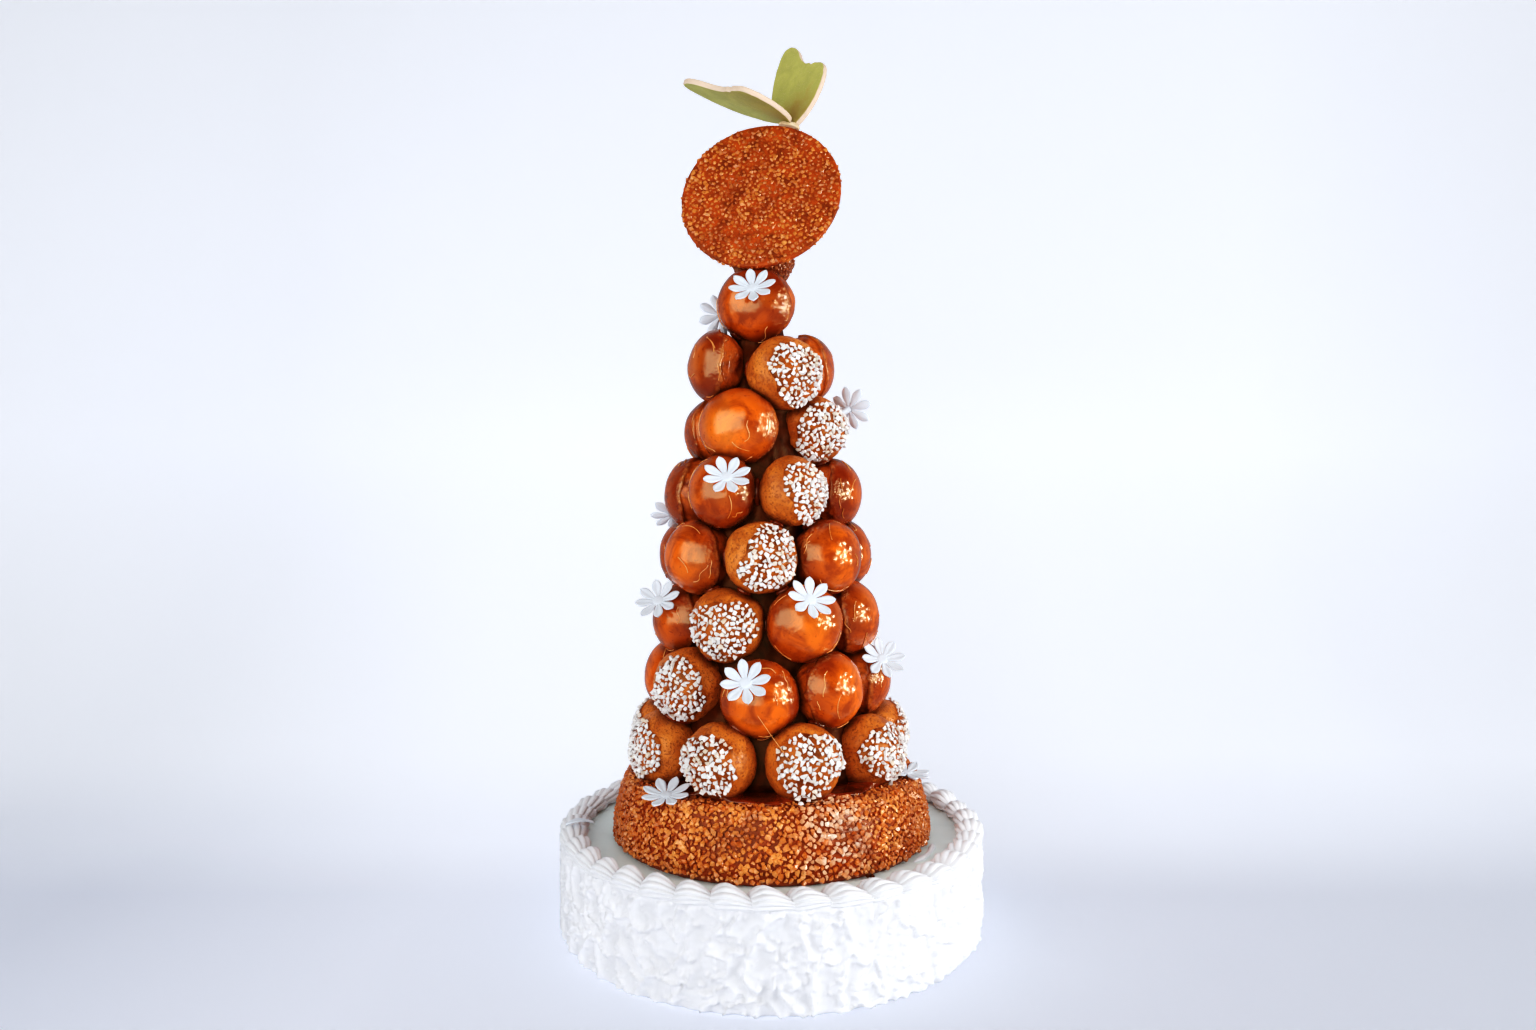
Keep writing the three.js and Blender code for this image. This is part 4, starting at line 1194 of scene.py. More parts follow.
def petal(length, width, base, tip_power, cup, rows=15, across=9):
    """A thin spoon-shaped petal along +X: rounded tip, narrow base, a groove down its middle."""
    share = np.linspace(0, 1, rows)
    half = base + (width / 2 - base) * np.sin(np.pi * np.clip(share * 0.74, 0, 1)) ** 1.8
    half = half * np.sqrt(np.clip(1 - np.clip((share - 0.62) / 0.38, 0, 1) ** tip_power, 0.0016, 1))
    top, under = [], []
    for s, h in zip(share, half):
        for v in np.linspace(-1, 1, across):
            z = cup * s * s + 0.35 * v * v * (h / (width / 2)) - 0.28 * math.exp(-(v / 0.22) ** 2)
            body = FLOWER_THICKNESS * 0.5 * (0.25 + 0.75 * (1 - abs(v) ** 5))
            top.append((length * s, h * v, z + body))
            under.append((length * s, h * v, z - body))
    faces, count = [], rows * across
    for a in [r * across + c for r in range(rows - 1) for c in range(across - 1)]:
        b = a + across
        faces += [(a, b, b + 1, a + 1), (count + a, count + a + 1, count + b + 1, count + b)]
    rim = ([c for c in range(across)] + [r * across + across - 1 for r in range(1, rows)]
           + [(rows - 1) * across + c for c in range(across - 2, -1, -1)]
           + [r * across for r in range(rows - 2, 0, -1)])
    faces += [(a, b, count + b, count + a) for a, b in zip(rim, rim[1:] + rim[:1])]
    return np.array(top + under), faces


def turned(points, turn):
    """Points turned about +Z, in radians."""
    x, y, z = points.T
    return np.stack([x * math.cos(turn) - y * math.sin(turn), x * math.sin(turn) + y * math.cos(turn), z], -1)


def bloom():
    """Points and faces of a flower that faces +Z, with a low dome at its middle."""
    stack, random = Stack(), seeded(64)
    for k in range(FLOWER_PETALS):
        points, faces = petal(FLOWER_RADIUS - BLOOM_HOLE + 0.5 * (random() - 0.5), 5.4, 1.0, 2.4,
                              FLOWER_CUP + 0.6 * (random() - 0.5))
        turn = math.radians(360 / FLOWER_PETALS * k + 3 * (random() - 0.5))
        stack.add(turned(points + (BLOOM_HOLE, 0, -0.3), turn), faces)
    dome = ((0.6, 0.62), (1.8, 0.55), (2.7, 0.35), (3.3, 0.0), (3.3, -0.5), (2.2, -0.7))
    stack.add(*capped([level_ring(r, round_turn(32), z) for r, z in dome], (0, 0, 0.45), (0, 0, -0.7)))
    return np.vstack(stack.points), stack.faces


def facing(direction, spin):
    """Turns +Z to a direction, after a spin about +Z."""
    turn = UP.rotation_difference(direction).to_matrix()
    return np.array(turn @ Matrix.Rotation(math.radians(spin), 3, "Z"))


def flower_piece(name, points, faces, place, direction, spin, down=None, reach=0.0):
    """One flower in place. A peg of paste, pale at the flower, reaches down from it to the puff."""
    stack = Stack()
    stack.add(points @ facing(direction, spin).T + np.array(place), faces)
    if down is not None:
        levels = ((1.4, 0.2), (1.9, 0.6), (1.5, 0.4 + 0.5 * reach), (1.7, reach - 0.3), (1.6, reach))
        rings = [level_ring(r, round_turn(20), z) for r, z in levels]
        peg, faces = capped(rings, (0, 0, 0.1), (0, 0, reach + 0.2))
        stack.add(peg @ facing(down.normalized(), 0).T + np.array(place), faces)
    return turned_out(stack.piece(name, "gum_paste"))


def loose_petal_piece():
    points, faces = petal(PETAL_LENGTH, PETAL_WIDTH, 0.7, 1.4, 0)
    points[:, 0] -= PETAL_LENGTH / 2
    points[:, 2] += PETAL_BOW * (1 - (2 * points[:, 0] / PETAL_LENGTH) ** 2)
    place = np.array(heading(PETAL_AZIMUTH) * PETAL_RADIUS)
    place[2] = DRUM_HEIGHT + 2 * GAP + BORDER_HEIGHT * 1.16
    points = turned(points, math.radians(PETAL_AZIMUTH - 90)) + place
    return turned_out(make_piece("loose_leaf", points, faces, "gum_paste"))


# ---- Drum and border ------------------------------------------------------------------------------------

DABS = 420
GLAZE_RINGS = (0.975, 0.95, 0.9, 0.86, 0.8, 0.74, 0.6, 0.4, 0.2)  # shares of the radius, from the white edge in
SHELL_RADIUS, SHELL_START, SHELL_LENGTH, SHELL_RIDGES = 6.9, -8.0, 29.0, 5
SHELL_OUTERMOST, SHELL_FOOT = 8.6, -0.4


def stroke_relief(along, up):
    """Depth of the palette-knife dabs over the unrolled side: each is a shallow scoop with a thin raised lip
    on its leading edge, and a later dab lies over an earlier one."""
    random = seeded(19)
    around = 2 * math.pi * DRUM_RADIUS
    relief = np.full(along.shape, 0.45)
    place = level_ring(DRUM_RADIUS, along / DRUM_RADIUS, up)
    along = along + 2.4 * wobble(place, 9.0, 14, 2)
    up = up + 2.0 * wobble(place, 7.0, 15, 2)
    for _ in range(DABS):
        at, level = around * random(), DRUM_HEIGHT * (1.2 * random() - 0.1)
        long, wide = 8 + 13 * random(), 3 + 4.5 * random()
        slant = math.radians(90 + 120 * (random() - 0.5))
        bow = 0.05 * (random() - 0.5)
        side = (along - at + around / 2) % around - around / 2
        rise = up - level
        p = side * math.cos(slant) + rise * math.sin(slant)
        q = rise * math.cos(slant) - side * math.sin(slant)
        q = q + bow * p * p
        reach = (p / long) ** 2 + (q / wide) ** 2
        scoop = 0.15 + 0.55 * np.clip(reach, 0, 1) + 0.3 * q / wide
        lip = (0.25 + 0.6 * random()) * np.exp(-((np.sqrt(reach) - 0.93) / 0.07) ** 2) * (q > -0.2 * wide)
        cover = 1 - smooth(0.86, 1.12, reach)
        relief = relief * (1 - cover) + (scoop + lip) * cover
    return relief


def drum_piece():
    columns, rows = 720, 58
    turn = round_turn(columns)
    stroke = settings("icing").stroke / MM
    rings, pit_shades = [], []
    for share in [row / (rows - 1) for row in range(rows)]:
        z = DRUM_HEIGHT * share
        base = level_ring(DRUM_RADIUS, turn, z)
        relief = stroke_relief(turn * DRUM_RADIUS, 0 * turn + z) + 0.12 * wobble(base, 2.6, 6, 2)
        relief = relief + 0.55 * smooth(0.25, 0.7, wobble(base, 3.0, 16, 1))
        ridge = np.clip(1 - np.abs(wobble(base, 6.0, 17, 2)) / 0.13, 0, 1)
        relief = relief + 0.4 * ridge ** 2 * smooth(-0.2, 0.5, wobble(base, 4.5, 18, 1))
        radius = DRUM_RADIUS - 0.3 - stroke * (1 - np.clip(relief, 0, 1.1)) - 1.5 * max(0, 1 - share / 0.03)
        rings.append(level_ring(radius, turn, z))
        # Painted shade: darker where the relief is low, more so towards -X.
        pit_shades.append((0.38 - 0.22 * np.cos(turn)) * smooth(0.75, 0.1, relief))
    for share in GLAZE_RINGS:
        flat = level_ring(DRUM_RADIUS * share, turn, DRUM_HEIGHT)
        flat[:, 2] -= 0.12 + 0.12 * wobble(flat, 22.0, 8, 2)
        flat[:, 2] += 1.6 * smooth(0.9, 0.95, share)
        rings.append(flat)
    white = rows + 2  # bands of icing up the side and over the edge; those inside them are glazed
    chosen = [0] * white * columns + [1] * (len(rings) - 1 - white) * columns + [0, 1] * columns
    hollow = np.concatenate(pit_shades + [np.zeros(len(GLAZE_RINGS) * columns + 2)])
    return capped_piece("iced_side_and_top", rings, ((0, 0, 0), (0, 0, DRUM_HEIGHT - 0.2)), "icing_white",
                        "icing_glaze", chosen=chosen, values={"hollow": hollow})


def shell_strand():
    """One piped shell: a fat ridged head whose ridges wind up and over, and a tail that runs down and outwards
    under the next head. +X points away from the drum's centre and +Y runs round it."""
    steps = 31
    turn = round_turn(80)
    rings = []
    for step in range(steps):
        share = (step / (steps - 1)) ** 1.3
        rise = math.sqrt(1 - (1 - min(1, share / 0.24)) ** 2)
        taper = float(smooth(0.2, 1.0, share))
        groove = np.sqrt(np.abs(np.sin(SHELL_RIDGES * (turn - 0.9 * share - 0.1))))
        width = SHELL_RADIUS * rise * (1 - 0.76 * taper) * (0.72 + 0.28 * groove) + 0.1
        full = 1 + 0.35 * np.abs(np.minimum(np.sin(turn), 0)) ** 2 * np.abs(np.cos(turn))
        x = np.minimum(0.9 + 2.6 * share + width * np.cos(turn) * 1.12 * full, SHELL_OUTERMOST)
        aside = width * (0.40 * np.sin(turn) + 0.30 * np.cos(turn)) * (1 - share)
        y = SHELL_START + SHELL_LENGTH * share + aside
        z = 1.8 + 2.7 * rise * (1 - taper) + width * np.sin(turn) * 0.73
        rings.append(np.stack([x, y, np.maximum(z, SHELL_FOOT)], -1))
    return capped_piece("strand", rings, (rings[0].mean(axis=0), rings[-1].mean(axis=0)))


def border_piece():
    strand = shell_strand()
    carrier = put_in_scene("ring_carrier", bpy.data.meshes.new("ring_carrier"))
    piece = grown("piped_shells", ring_tree, carrier, "piped_icing", Shell=strand, Seed=4, Unlike=0.065,
                  Count=settings("icing").strands, Radius=BORDER_RADIUS * MM, Height=(DRUM_HEIGHT + 0.1) * MM)
    bpy.data.objects.remove(strand)
    return piece


# ---- Nougatine ------------------------------------------------------------------------------------------

SHOULDER_AT, SHOULDER_WIDTH = 0.9, 3.4  # share of the base's height where its shoulder starts, and its width
SMEAR_START, SMEAR_SPAN, SMEAR_RADIUS, SMEAR_HALF = 53, 19, 90.4, 1.9
BASE_SKIN, DISC_SKIN = 1.7, 0.75  # depth of the caramel's face under the almonds that are set in it
BASE_BED, DISC_BED = 0.9, 1.3  # depth at which the almonds are set
NIB_CRUMBS = ((14, -75, NOUGATINE_TOP), (-71, -28.5, NOUGATINE_TOP), (48, 61, NOUGATINE_TOP),
              (-26.7, -91.5, DRUM_HEIGHT), (10.2, -91.8, DRUM_HEIGHT), (-66, 64, DRUM_HEIGHT))
BURNT_CRUMBS = ((48.5, -75.5, DRUM_HEIGHT), (46.3, -76.5, DRUM_HEIGHT + 0.6), (31, 84.5, DRUM_HEIGHT))


def nougatine_radius(share):
    """Radius of the base at a share of its height."""
    cone = NOUGATINE_BOTTOM + (NOUGATINE_TOP_RADIUS - NOUGATINE_BOTTOM) * share
    return cone + NOUGATINE_BULGE * math.sin(math.pi * share)


def nougatine_rings(columns, inset):
    """Rings of the base's skin from its foot up and over its rounded shoulder to the middle of its top."""
    outline = [(nougatine_radius(s) - inset - (1.0 if s == 0 else 0), NOUGATINE_FOOT + NOUGATINE_HEIGHT * s)
               for s in np.linspace(0, SHOULDER_AT, 20)]
    for bend in [math.pi / 2 * k / 7 for k in range(1, 8)]:
        outline.append((nougatine_radius(SHOULDER_AT) - inset - SHOULDER_WIDTH * (1 - math.cos(bend)),
                        NOUGATINE_FOOT + NOUGATINE_HEIGHT * SHOULDER_AT
                        + (NOUGATINE_HEIGHT * 0.1 - 0.4) * math.sin(bend)))
    outline += [(r, NOUGATINE_TOP - 0.4) for r in (74, 66)]
    return [level_ring(r, round_turn(columns), z) for r, z in outline]


def roughened(rings, amount, size, seed, centre):
    """Rings pushed out and in by noise along the way from a centre."""
    out = []
    for ring in rings:
        away = ring - np.array(centre)
        away /= np.linalg.norm(away, axis=1)[:, None]
        out.append(ring + away * (amount * wobble(ring, size, seed, 3))[:, None])
    return out


def base_piece():
    rings = roughened(nougatine_rings(240, BASE_SKIN), 0.4, 4.0, 21, (0, 0, NOUGATINE_FOOT))
    return capped_piece("nougatine_body", rings, ((0, 0, NOUGATINE_FOOT + 0.1), (0, 0, NOUGATINE_TOP - 0.4)),
                        "nougatine_caramel")


def base_bed():
    rings = nougatine_rings(120, BASE_BED)[1:]
    return make_piece("base_bed", np.vstack(rings), band_faces(len(rings), 120))


def almonds_on(name, bed, seed, finish, scale=1.0, lift=0.0):
    nougatine = settings("nougatine")
    return scattered(name, bed, finish, (6, (1.0, 0.88, 0.72), 16, 0.90), Seed=seed, Spread=0.32, Tilt=0.5,
                     Spacing=scale * nougatine.grain_spacing, Size=scale * nougatine.grain_size, Lift=lift * MM)


def crumbs_piece(name, places, finish):
    """Stray crumbs on the nougatine's edge and at its foot."""
    random, stack, turns = seeded(46), Stack(), round_turn(7)
    for x, y, z in places:
        rings = []
        for k, (r, h) in enumerate(((0.7, 0.1), (1.3, 0.6), (1.2, 1.3), (0.6, 1.8))):
            wide = r * (0.8 + 0.4 * random())
            rings.append(np.stack([wide * np.cos(turns + k), r * np.sin(turns + k), 0 * turns + h], -1))
        points, faces = capped(rings, (0, 0, 0), (0, 0, 1.9))
        stack.add(points + (x, y, z + 0.3), faces)
    return turned_out(stack.piece(name, finish, flat=True))


def smear_piece():
    """A low ridge of icing that was pushed up beside the nougatine's foot."""
    rows, turn = 22, round_turn(12)
    rings = []
    for share in [row / (rows - 1) for row in range(rows)]:
        side = heading(SMEAR_START + SMEAR_SPAN * share)
        middle = np.array(side * (SMEAR_RADIUS + 1.6 * math.sin(3 * share)))
        girth = SMEAR_HALF * math.sqrt(max(0.02, 1 - (2 * share - 1) ** 2)) * (1 + 0.25 * math.sin(9 * share))
        rings.append(middle + np.outer(girth * np.cos(turn), side)
                     + np.outer(0.6 * girth * np.sin(turn) + DRUM_HEIGHT + 0.1, (0, 0, 1)))
    return capped_piece("icing_smear", rings, (rings[0].mean(axis=0), rings[-1].mean(axis=0)), "icing_white")


def disc_rings(columns, inset):
    """Rings of the disc from the middle of its back, round its rim and to the middle of its face, and both
    middles."""
    turn = round_turn(columns)
    half = DISC_THICKNESS / 2 - inset
    shares = (0.12, 0.3, 0.5, 0.7, 0.85, 0.94)
    outline = [(s, 1.0, -half) for s in shares]
    outline += [(1.0, math.sin(a), -half * math.cos(a)) for a in np.linspace(0, math.pi, 9)]
    outline += [(s, 1.0, half) for s in reversed(shares)]
    face = heading(DISC_TURN, DISC_LEAN)
    side = UP.cross(face).normalized()
    basis = np.array([side, face.cross(side), face])
    rings = []
    for share, bulge, level in outline:
        radius = DISC_RADIUS - inset + DISC_OVAL * np.cos(2 * (turn - math.radians(DISC_OVAL_AT)))
        radius = radius * share - (1.0 * (1 - bulge) if share == 1.0 else 0)
        rings.append(level_ring(radius, turn, level) @ basis + np.array(DISC_PLACE))
    return rings, [np.array([0, 0, level]) @ basis + np.array(DISC_PLACE) for level in (-half, half)]


def disc_piece():
    rings, ends = disc_rings(150, DISC_SKIN)
    return capped_piece("disc_body", roughened(rings, 0.25, 3.5, 33, DISC_PLACE), ends, "disc_caramel")


def cup_piece(name="cup_body", columns=72, inset=0.5):
    x, y, foot = CUP_PLACE
    profile = ((6, 0), (CUP_BOTTOM - 1, 0), (CUP_BOTTOM, 0.9), ((CUP_BOTTOM + CUP_TOP) / 2, CUP_HEIGHT / 2),
               (CUP_TOP, CUP_HEIGHT - 0.8), (CUP_TOP - 0.9, CUP_HEIGHT),
               (CUP_TOP * 0.86, CUP_HEIGHT - CUP_DISH * 0.5), (CUP_TOP * 0.72, CUP_HEIGHT - CUP_DISH * 0.7),
               (6, CUP_HEIGHT - CUP_DISH))
    rings = [level_ring(radius - (inset if radius > 10 else 0), round_turn(columns),
                        min(max(level, inset), CUP_HEIGHT - inset)) + CUP_PLACE for radius, level in profile]
    ends = (x, y, foot + inset), (x, y, foot + CUP_HEIGHT - CUP_DISH)
    return capped_piece(name, rings, ends, "cup_caramel")


# ---- Butterfly ------------------------------------------------------------------------------------------

# Each bend of a wing's outline and the point where it ends, from the root round the tail and the head's side.
WING_START = (-1.0, -2.0)
WING_CURVES = (
    ((5, -8), (15, -9)), ((27, -10), (34, -5.5)), ((38.2, -2.5), (37.8, 3)), ((38.7, 5.5), (36.8, 8.2)),
    ((38.6, 10), (37.9, 13)), ((39, 18), (44, 23.5)), ((48.8, 28), (49.9, 33.5)), ((50.3, 37.8), (47.8, 39.6)),
    ((46, 40.8), (42.5, 40.6)), ((29, 39.4), (15, 31)), ((2, 21), (-2, 8)), ((-2.2, 3), (-1, -2)))
WING_CENTRE = (24, 12)


def wing_outline():
    """Outline of one wing: x runs out from the body and y towards the head."""
    at, points = WING_START, []
    for bend, end in WING_CURVES:
        count = 12 if math.dist(at, end) > 4 else 4
        for t in [k / count for k in range(count)]:
            points.append([(1 - t) ** 2 * a + 2 * t * (1 - t) * b + t * t * c
                           for a, b, c in zip(at, bend, end)])
        at = end
    return np.array(points)


def wing_piece(name, side, lift):
    """A flat cut-out with softly rounded edges, in its place on the disc's rim."""
    outline, centre, half = wing_outline(), np.array(WING_CENTRE, dtype=float), WING_THICKNESS / 2
    random = seeded(90 + lift)
    tip = smooth(26, 34, outline[:, 1])
    ragged = 1 - 0.008 * tip + 0.014 * np.array([random() - 0.5 for _ in outline])
    outline = centre + (outline - centre) * ragged[:, None]
    whole = np.ones(len(outline))
    inner, edge = (1 - cut / np.linalg.norm(outline - centre, axis=1) for cut in (0.55, 0.18))
    upper = [(s * inner, half, 0.0) for s in (0.15, 0.35, 0.55, 0.75, 0.9, 0.97)]
    upper += [(inner, half, 0.3), (edge, half - 0.2, 1.0), (whole, half - 0.6, 1.0)]
    lower = [(share, -level, rim) for share, level, rim in reversed(upper)]
    rings, edges, roots = [], [], []
    for share, level, rim in upper + [(whole, 0.0, 1.0)] + lower:
        flat = centre + (outline - centre) * np.reshape(share, (-1, 1))
        uneven = 0.14 * wobble(np.column_stack([flat, flat[:, 0] * 0]), 9.0, 50 + lift, 2)
        rings.append(np.column_stack([flat, level + uneven * (1 if rim < 1 else 0.4)]))
        edges.append(np.full(len(flat), rim))
        roots.append((1.15 if side > 0 else 0.85) - np.hypot(flat[:, 0] - 4, flat[:, 1] - 2) / 31)
    points, faces = capped(rings, (*WING_CENTRE, half), (*WING_CENTRE, -half))
    points[:, 2] -= half
    axis = heading(BUTTERFLY_HEADING, BUTTERFLY_PITCH)
    across = axis.cross(UP).normalized()
    out = across * (side * math.cos(math.radians(lift))) + across.cross(axis) * math.sin(math.radians(lift))
    basis = np.array([out, axis, out.cross(axis)])
    place = np.array(BUTTERFLY_PLACE) + np.array([WING_ROOT_GAP if side > 0 else 0, 0, 0])
    values = {"edge": np.concatenate(edges + [[0, 0]]), "root": np.concatenate(roots + [[0.3, 0.3]])}
    return turned_out(make_piece(name, points @ basis + place, faces, "wing", values=values))


def dab_piece():
    """The dab of pale paste: the solid's own shape, smoothed and a little lumpy."""
    mesh = bmesh.new()
    mesh.from_mesh(frame["nodes"]["butterfly_dab"].data)
    bmesh.ops.remove_doubles(mesh, verts=mesh.verts, dist=1e-6)
    bmesh.ops.subdivide_edges(mesh, edges=mesh.edges, cuts=1, use_grid_fill=True)
    bmesh.ops.smooth_vert(mesh, verts=mesh.verts, factor=0.4, use_axis_x=True, use_axis_y=True, use_axis_z=True)
    bmesh.ops.recalc_face_normals(mesh, faces=mesh.faces)
    data = bpy.data.meshes.new("dab_of_paste")
    mesh.to_mesh(data)
    mesh.free()
    data.materials.append(FINISH["paste_dab"])
    return put_in_scene("dab_of_paste", data)


# ---- Stage ----------------------------------------------------------------------------------------------

CAMERA_PLACE, CAMERA_LENS = (-2, -527, 223), 21.8
MIDDLE = Vector((0, 0, 240))  # of the tower, which the lamps face
SOFTBOX_TURN, SOFTBOX_AWAY, SOFTBOX_SIDE = -32, 1000, 1560
SOFTBOX_PARTS, SOFTBOX_SHARE = (1.13, 0.96, 0.79), 0.35  # squares over one another, for a soft edge
LAMP_TURN, LAMP_AWAY, LAMP_RADIUS, LAMP_SPREAD = 66, 900, 34, 26
CEILING_HEIGHT, CEILING_SIDE = 1300, 1500
SWEEP_FRONT, SWEEP_START, SWEEP_RADIUS, SWEEP_WIDTH, SWEEP_TOP = -1500, 150, 300, 900, 1100
TONE_CURVE = ((0.06, 0.026), (0.25, 0.21), (0.5, 0.5))


def sweep_piece():
    line, steps = [(SWEEP_FRONT, 0), (SWEEP_START, 0)], 24
    for bend in [math.pi / 2 * k / steps for k in range(1, steps + 1)]:
        line.append((SWEEP_START + SWEEP_RADIUS * math.sin(bend), SWEEP_RADIUS * (1 - math.cos(bend))))
    line.append((SWEEP_START + SWEEP_RADIUS, SWEEP_TOP))
    points = [(side * SWEEP_WIDTH, y, z) for side in (-1, 1) for y, z in line]
    count = len(line)
    faces = [(i, count + i, count + i + 1, i + 1) for i in range(count - 1)]
    sweep = make_piece("sweep", points, faces, "sweep")
    return sweep


def area_lamp(name, place, size, radiance, shape="SQUARE"):
    """A lamp that faces the tower's middle, whose brightness is given as radiance."""
    data = bpy.data.lights.new(name, "AREA")
    data.shape, data.size = shape, size * MM
    area = (size * MM) ** 2 * (math.pi / 4 if shape == "DISK" else 1)
    data.energy = radiance * math.pi * area
    lamp = put_in_scene(name, data)
    lamp.location = place * MM
    lamp.rotation_euler = (place - MIDDLE).to_track_quat("Z", "Y").to_euler()
    return lamp


def umbrella(spared, radiance):
    """A crinkled umbrella: small lamps over a shallow cap, which leave the sweep alone."""
    random = seeded(31)
    for ring, count in enumerate((1, 5, 8)):
        for k in range(count):
            turn = 2 * math.pi * (k + 0.6 * random()) / count
            tilt = LAMP_SPREAD * (ring + 0.3 * (random() - 0.5)) / 2
            way = heading(LAMP_TURN + tilt * math.cos(turn), tilt * math.sin(turn))
            size = 2 * LAMP_RADIUS * (1.5 if ring == 0 else 0.7 + 0.6 * random())
            lamp = area_lamp(f"umbrella_{ring}_{k}", way * LAMP_AWAY + MIDDLE, size, radiance, "DISK")
            lamp.light_linking.receiver_collection = spared


def add_room():
    world = bpy.data.worlds.new("Pale room")
    world.use_nodes = True
    graph = Graph(world.node_tree)
    direction = graph.parted(graph.add("ShaderNodeTexCoord").outputs["Generated"])
    pale = graph.math("MULTIPLY", graph.span(direction["Y"], 0.0, 0.5, 0.12, 1.0),
                      graph.span(direction["Z"], 0.1, 0.8, 1.0, 0.35))
    back = world.node_tree.nodes["Background"]
    back.inputs["Color"].default_value = (0.96, 0.98, 1.0, 1.0)
    graph.feed(back.inputs["Strength"], graph.math("MULTIPLY", pale, settings("stage").room))
    bpy.context.scene.world = world


def add_camera():
    data = bpy.data.cameras.new("Camera")
    data.sensor_width, data.lens = 36, CAMERA_LENS
    camera = put_in_scene("Camera", data)
    camera.location = Vector(CAMERA_PLACE) * MM
    camera.rotation_euler = (math.pi / 2, 0, 0)
    bpy.context.scene.camera = camera


# ---- Operators ------------------------------------------------------------------------------------------


class MakeDrum(bpy.types.Operator):
    """Ice the drum: knifed side and glazed top"""

    bl_idname = "croquembouche.drum"
    bl_label = "Iced drum"

    def execute(self, context):
        finish_piece(drum_piece(), "icing", "iced_drum")
        finish_piece(smear_piece(), "icing")
        return {"FINISHED"}


class MakeBorder(bpy.types.Operator):
    """Pipe the ring of shells round the drum's top edge"""

    bl_idname = "croquembouche.border"
    bl_label = "Piped border"

    def execute(self, context):
        finish_piece(border_piece(), "icing", "piped_border")
        return {"FINISHED"}


class MakeNougatine(bpy.types.Operator):
    """Cast the nougatine base and set almond grains in it"""

    bl_idname = "croquembouche.nougatine"
    bl_label = "Nougatine base"

    def execute(self, context):
        finish_piece(base_piece(), "nougatine", "nougatine_base")
        finish_piece(almonds_on("base_almonds", base_bed(), 5, "almond_grain", lift=0.2), "nougatine")
        finish_piece(crumbs_piece("burnt_crumbs", BURNT_CRUMBS, "caramel_web"), "nougatine")
        return {"FINISHED"}


class MakePuffs(bpy.types.Operator):
    """Bake and dip the choux puffs"""

    bl_idname = "croquembouche.puffs"
    bl_label = "Choux puffs"

    def execute(self, context):
        for puff in PUFFS:
            slot = "sugar_puff" if puff.finish == "s" else "caramel_puff"
            finish_piece(puff_piece(puff), slot, puff.node)
        return {"FINISHED"}


class MakeNibs(bpy.types.Operator):
    """Pack sugar nibs on the sugared puffs"""

    bl_idname = "croquembouche.nibs"
    bl_label = "Sugar nibs"

    def execute(self, context):
        puff = settings("puff")
        nibs = scattered("sugar_nibs", nib_bed(), "sugar_nib", (7, (1.08, 0.92, 0.78), 10, 0.84), Seed=3,
                         Spacing=puff.nib_spacing, Size=puff.nib_size, Spread=0.26, Tilt=0.7, Lift=0.55 * MM)
        finish_piece(nibs, "sugar_puff")
        finish_piece(crumbs_piece("stray_nibs", NIB_CRUMBS, "sugar_nib"), "sugar_puff")
        return {"FINISHED"}


class MakeGlue(bpy.types.Operator):
    """Glue the tower with set caramel, where puffs meet and round their feet, and close the gaps with a dark
    sleeve of painted shade
    """

    bl_idname = "croquembouche.glue"
    bl_label = "Caramel glue"

    def execute(self, context):
        finish_piece(glue_piece(), "caramel_puff")
        finish_piece(pool_piece(), "caramel_puff")
        finish_piece(shade_sleeve_piece(), "caramel_puff")
        return {"FINISHED"}


class MakeThreads(bpy.types.Operator):
    """Draw caramel threads between the puffs and over their shells"""

    bl_idname = "croquembouche.threads"
    bl_label = "Caramel threads"

    def execute(self, context):
        for name, carrier, thickness in (("caramel_threads", strings_between(), 0.32),
                                         ("shell_strings", strings_on_shells(), 0.5)):
            piece = grown(name, thread_tree, carrier, "caramel_thread", Thickness=thickness * MM)
            finish_piece(piece, "caramel_puff")
        return {"FINISHED"}


class MakeFlowers(bpy.types.Operator):
    """Set gum-paste flowers on the puffs and the nougatine's rim, and a loose leaf on the border"""

    bl_idname = "croquembouche.flowers"
    bl_label = "Gum-paste flowers"

    def execute(self, context):
        points, faces = bloom()
        for number, (label, azimuth, elevation, spin, lift, look) in enumerate(FLOWERS_ON_PUFFS, 1):
            puff = PUFF_NAMED[label]
            place = puff.centre + heading(azimuth, elevation) * (puff.size / 2 + lift)
            piece = flower_piece(f"flower_{number}", points, faces, place, heading(*look), spin,
                                 puff.centre - place, lift + 2.0)
            finish_piece(piece, "gum_paste")
        for node, radius, azimuth, tilt, towards, spin in FLOWERS_ON_RIM:
            place = heading(azimuth) * radius
            place.z = NOUGATINE_TOP + FLOWER_THICKNESS + GAP
            piece = flower_piece(f"{node}_bloom", points, faces, place, heading(towards, 90 - tilt), spin)
            finish_piece(piece, "gum_paste", node)
        finish_piece(loose_petal_piece(), "gum_paste", "loose_petal")
        return {"FINISHED"}


class MakeDisc(bpy.types.Operator):
    """Stand the nougatine disc on the top puff, with the cup that it leans on"""

    bl_idname = "croquembouche.disc"
    bl_label = "Nougatine disc and cup"

    def execute(self, context):
        finish_piece(disc_piece(), "nougatine", "nougatine_disc")
        bed = capped_piece("disc_bed", *disc_rings(90, DISC_BED))
        finish_piece(almonds_on("disc_almonds", bed, 8, "toasted_grain", 0.98, 0.15), "nougatine")
        finish_piece(cup_piece(), "nougatine", "nougatine_cup")
        finish_piece(almonds_on("cup_almonds", cup_piece("cup_bed", 48), 9, "burnt_grain", 0.8), "nougatine")
        return {"FINISHED"}


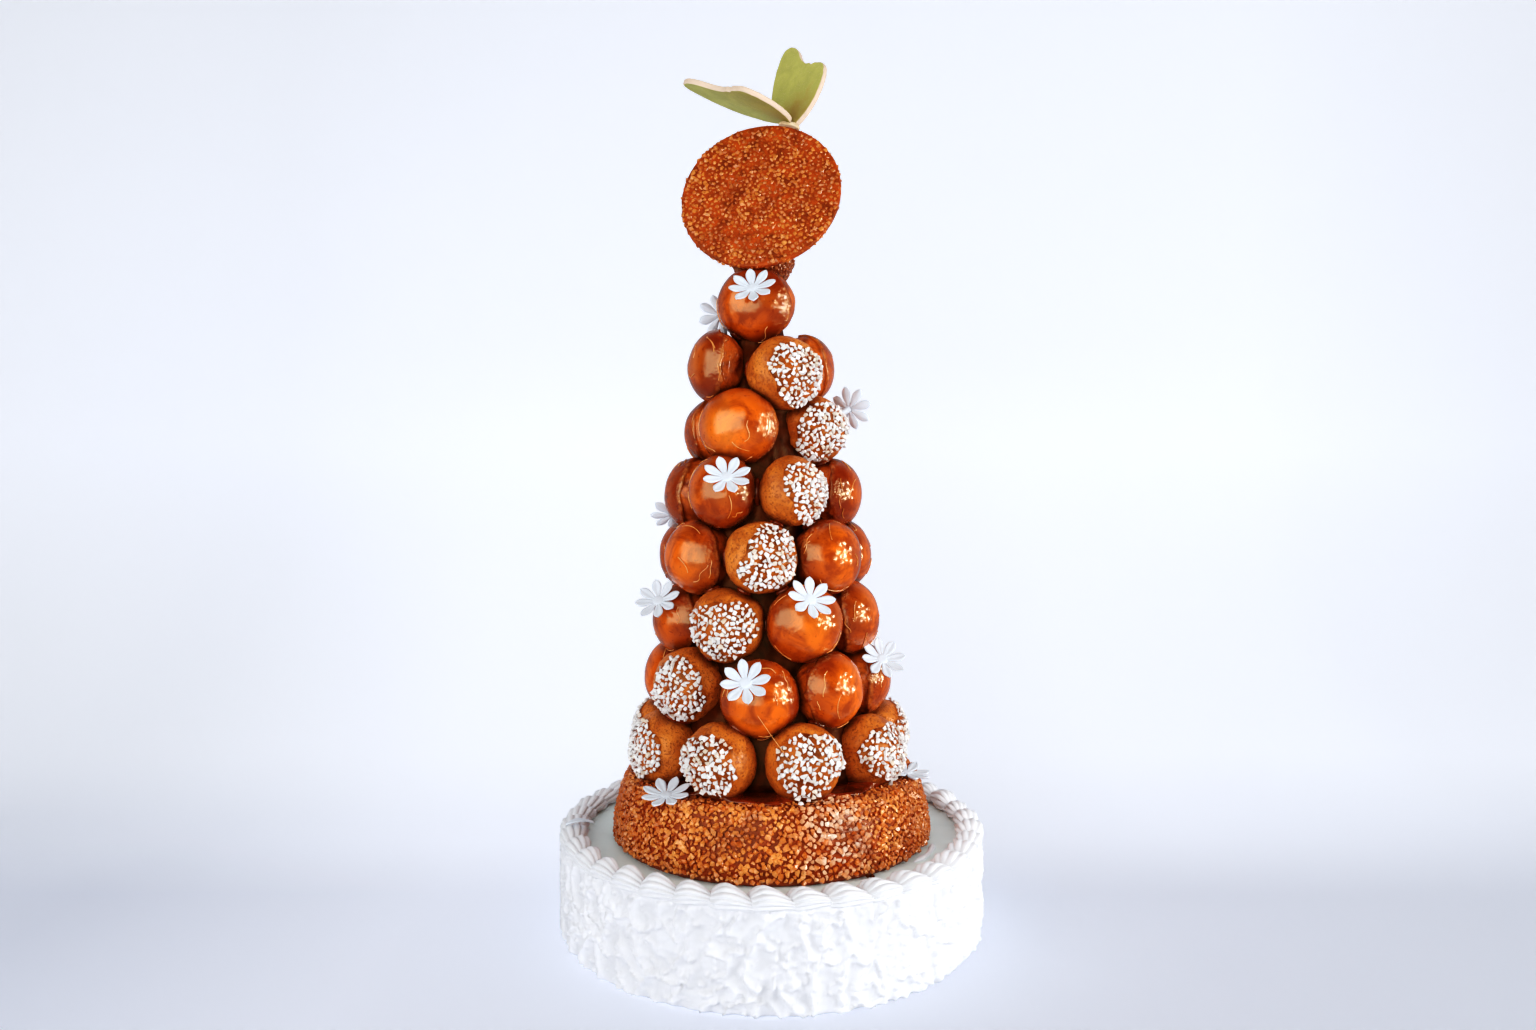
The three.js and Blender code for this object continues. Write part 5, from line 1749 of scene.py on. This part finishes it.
class MakeButterfly(bpy.types.Operator):
    """Cut the butterfly's wings and set them in a dab of paste on the disc's rim"""

    bl_idname = "croquembouche.butterfly"
    bl_label = "Butterfly"

    def execute(self, context):
        for node, side in (("wing_left", -1), ("wing_right", 1)):
            finish_piece(wing_piece(f"{node}_paste", side, WING_LIFT[node]), "wing", node)
        finish_piece(dab_piece(), "paste_dab", "butterfly_dab")
        return {"FINISHED"}


class MakeStage(bpy.types.Operator):
    """Set up the sweep, the lamps, the pale room and the camera"""

    bl_idname = "croquembouche.stage"
    bl_label = "Stage"

    def execute(self, context):
        stage = settings("stage")
        sweep = sweep_piece()
        place = heading(SOFTBOX_TURN) * SOFTBOX_AWAY + MIDDLE
        for k, side in enumerate(SOFTBOX_PARTS):
            area_lamp(f"softbox_{k}", place * (1 + 0.001 * k), SOFTBOX_SIDE * side,
                      stage.softbox * SOFTBOX_SHARE)
        spared = bpy.data.collections.new("Lit by the softbox alone")
        spared.objects.link(sweep)
        spared.collection_objects[0].light_linking.link_state = "EXCLUDE"
        umbrella(spared, stage.umbrella)
        ceiling = area_lamp("ceiling", Vector((0, 0, CEILING_HEIGHT)), CEILING_SIDE, stage.ceiling)
        ceiling.visible_glossy = False
        ceiling.light_linking.receiver_collection = spared
        add_room()
        add_camera()
        picture = context.scene.view_settings
        picture.view_transform = "Standard"
        picture.use_curve_mapping = True
        tone = picture.curve_mapping.curves[3]
        for level, shown in TONE_CURVE:
            tone.points.new(level, shown)
        picture.curve_mapping.update()
        return {"FINISHED"}


MAKERS = (MakeDrum, MakeBorder, MakeNougatine, MakePuffs, MakeNibs, MakeGlue, MakeThreads, MakeFlowers,
          MakeDisc, MakeButterfly, MakeStage)


class CroquemboucheSettings(bpy.types.PropertyGroup):
    puff: PointerProperty(name="Puffs", description="Choux puffs and their coats", type=PuffSettings)
    nougatine: PointerProperty(name="Nougatine", description="Base, disc and cup", type=NougatineSettings)
    icing: PointerProperty(name="Icing", description="Drum and piped border", type=IcingSettings)
    paste: PointerProperty(name="Gum paste", description="Flowers and butterfly", type=PasteSettings)
    stage: PointerProperty(name="Stage", description="Lamps, room and sweep", type=StageSettings)


class CroquembouchePanel(bpy.types.Panel):
    bl_idname = "CROQUEMBOUCHE_PT_panel"
    bl_label = "Croquembouche"
    bl_space_type = "VIEW_3D"
    bl_region_type = "UI"
    bl_category = "Croquembouche"

    def draw(self, context):
        layout, chosen = self.layout, context.scene.croquembouche
        for key in ("puff", "nougatine", "icing", "paste", "stage"):
            group = getattr(chosen, key)
            box = layout.box()
            box.label(text=chosen.bl_rna.properties[key].name)
            for prop in group.bl_rna.properties:
                if prop.identifier not in ("rna_type", "name"):
                    box.prop(group, prop.identifier)
        for maker in MAKERS:
            layout.operator(maker.bl_idname)


GROUPS = (PuffSettings, NougatineSettings, IcingSettings, PasteSettings, StageSettings, CroquemboucheSettings)
CLASSES = (*GROUPS, *MAKERS, CroquembouchePanel)


def register():
    for kind in CLASSES:
        bpy.utils.register_class(kind)
    bpy.types.Scene.croquembouche = PointerProperty(
        name="Croquembouche", description="Sizes and colours of the tower", type=CroquemboucheSettings)


def unregister():
    del bpy.types.Scene.croquembouche
    for kind in reversed(CLASSES):
        bpy.utils.unregister_class(kind)


def main():
    register()
    for maker in MAKERS:
        getattr(bpy.ops.croquembouche, maker.bl_idname.split(".")[1])()


if __name__ == "__main__":
    main()
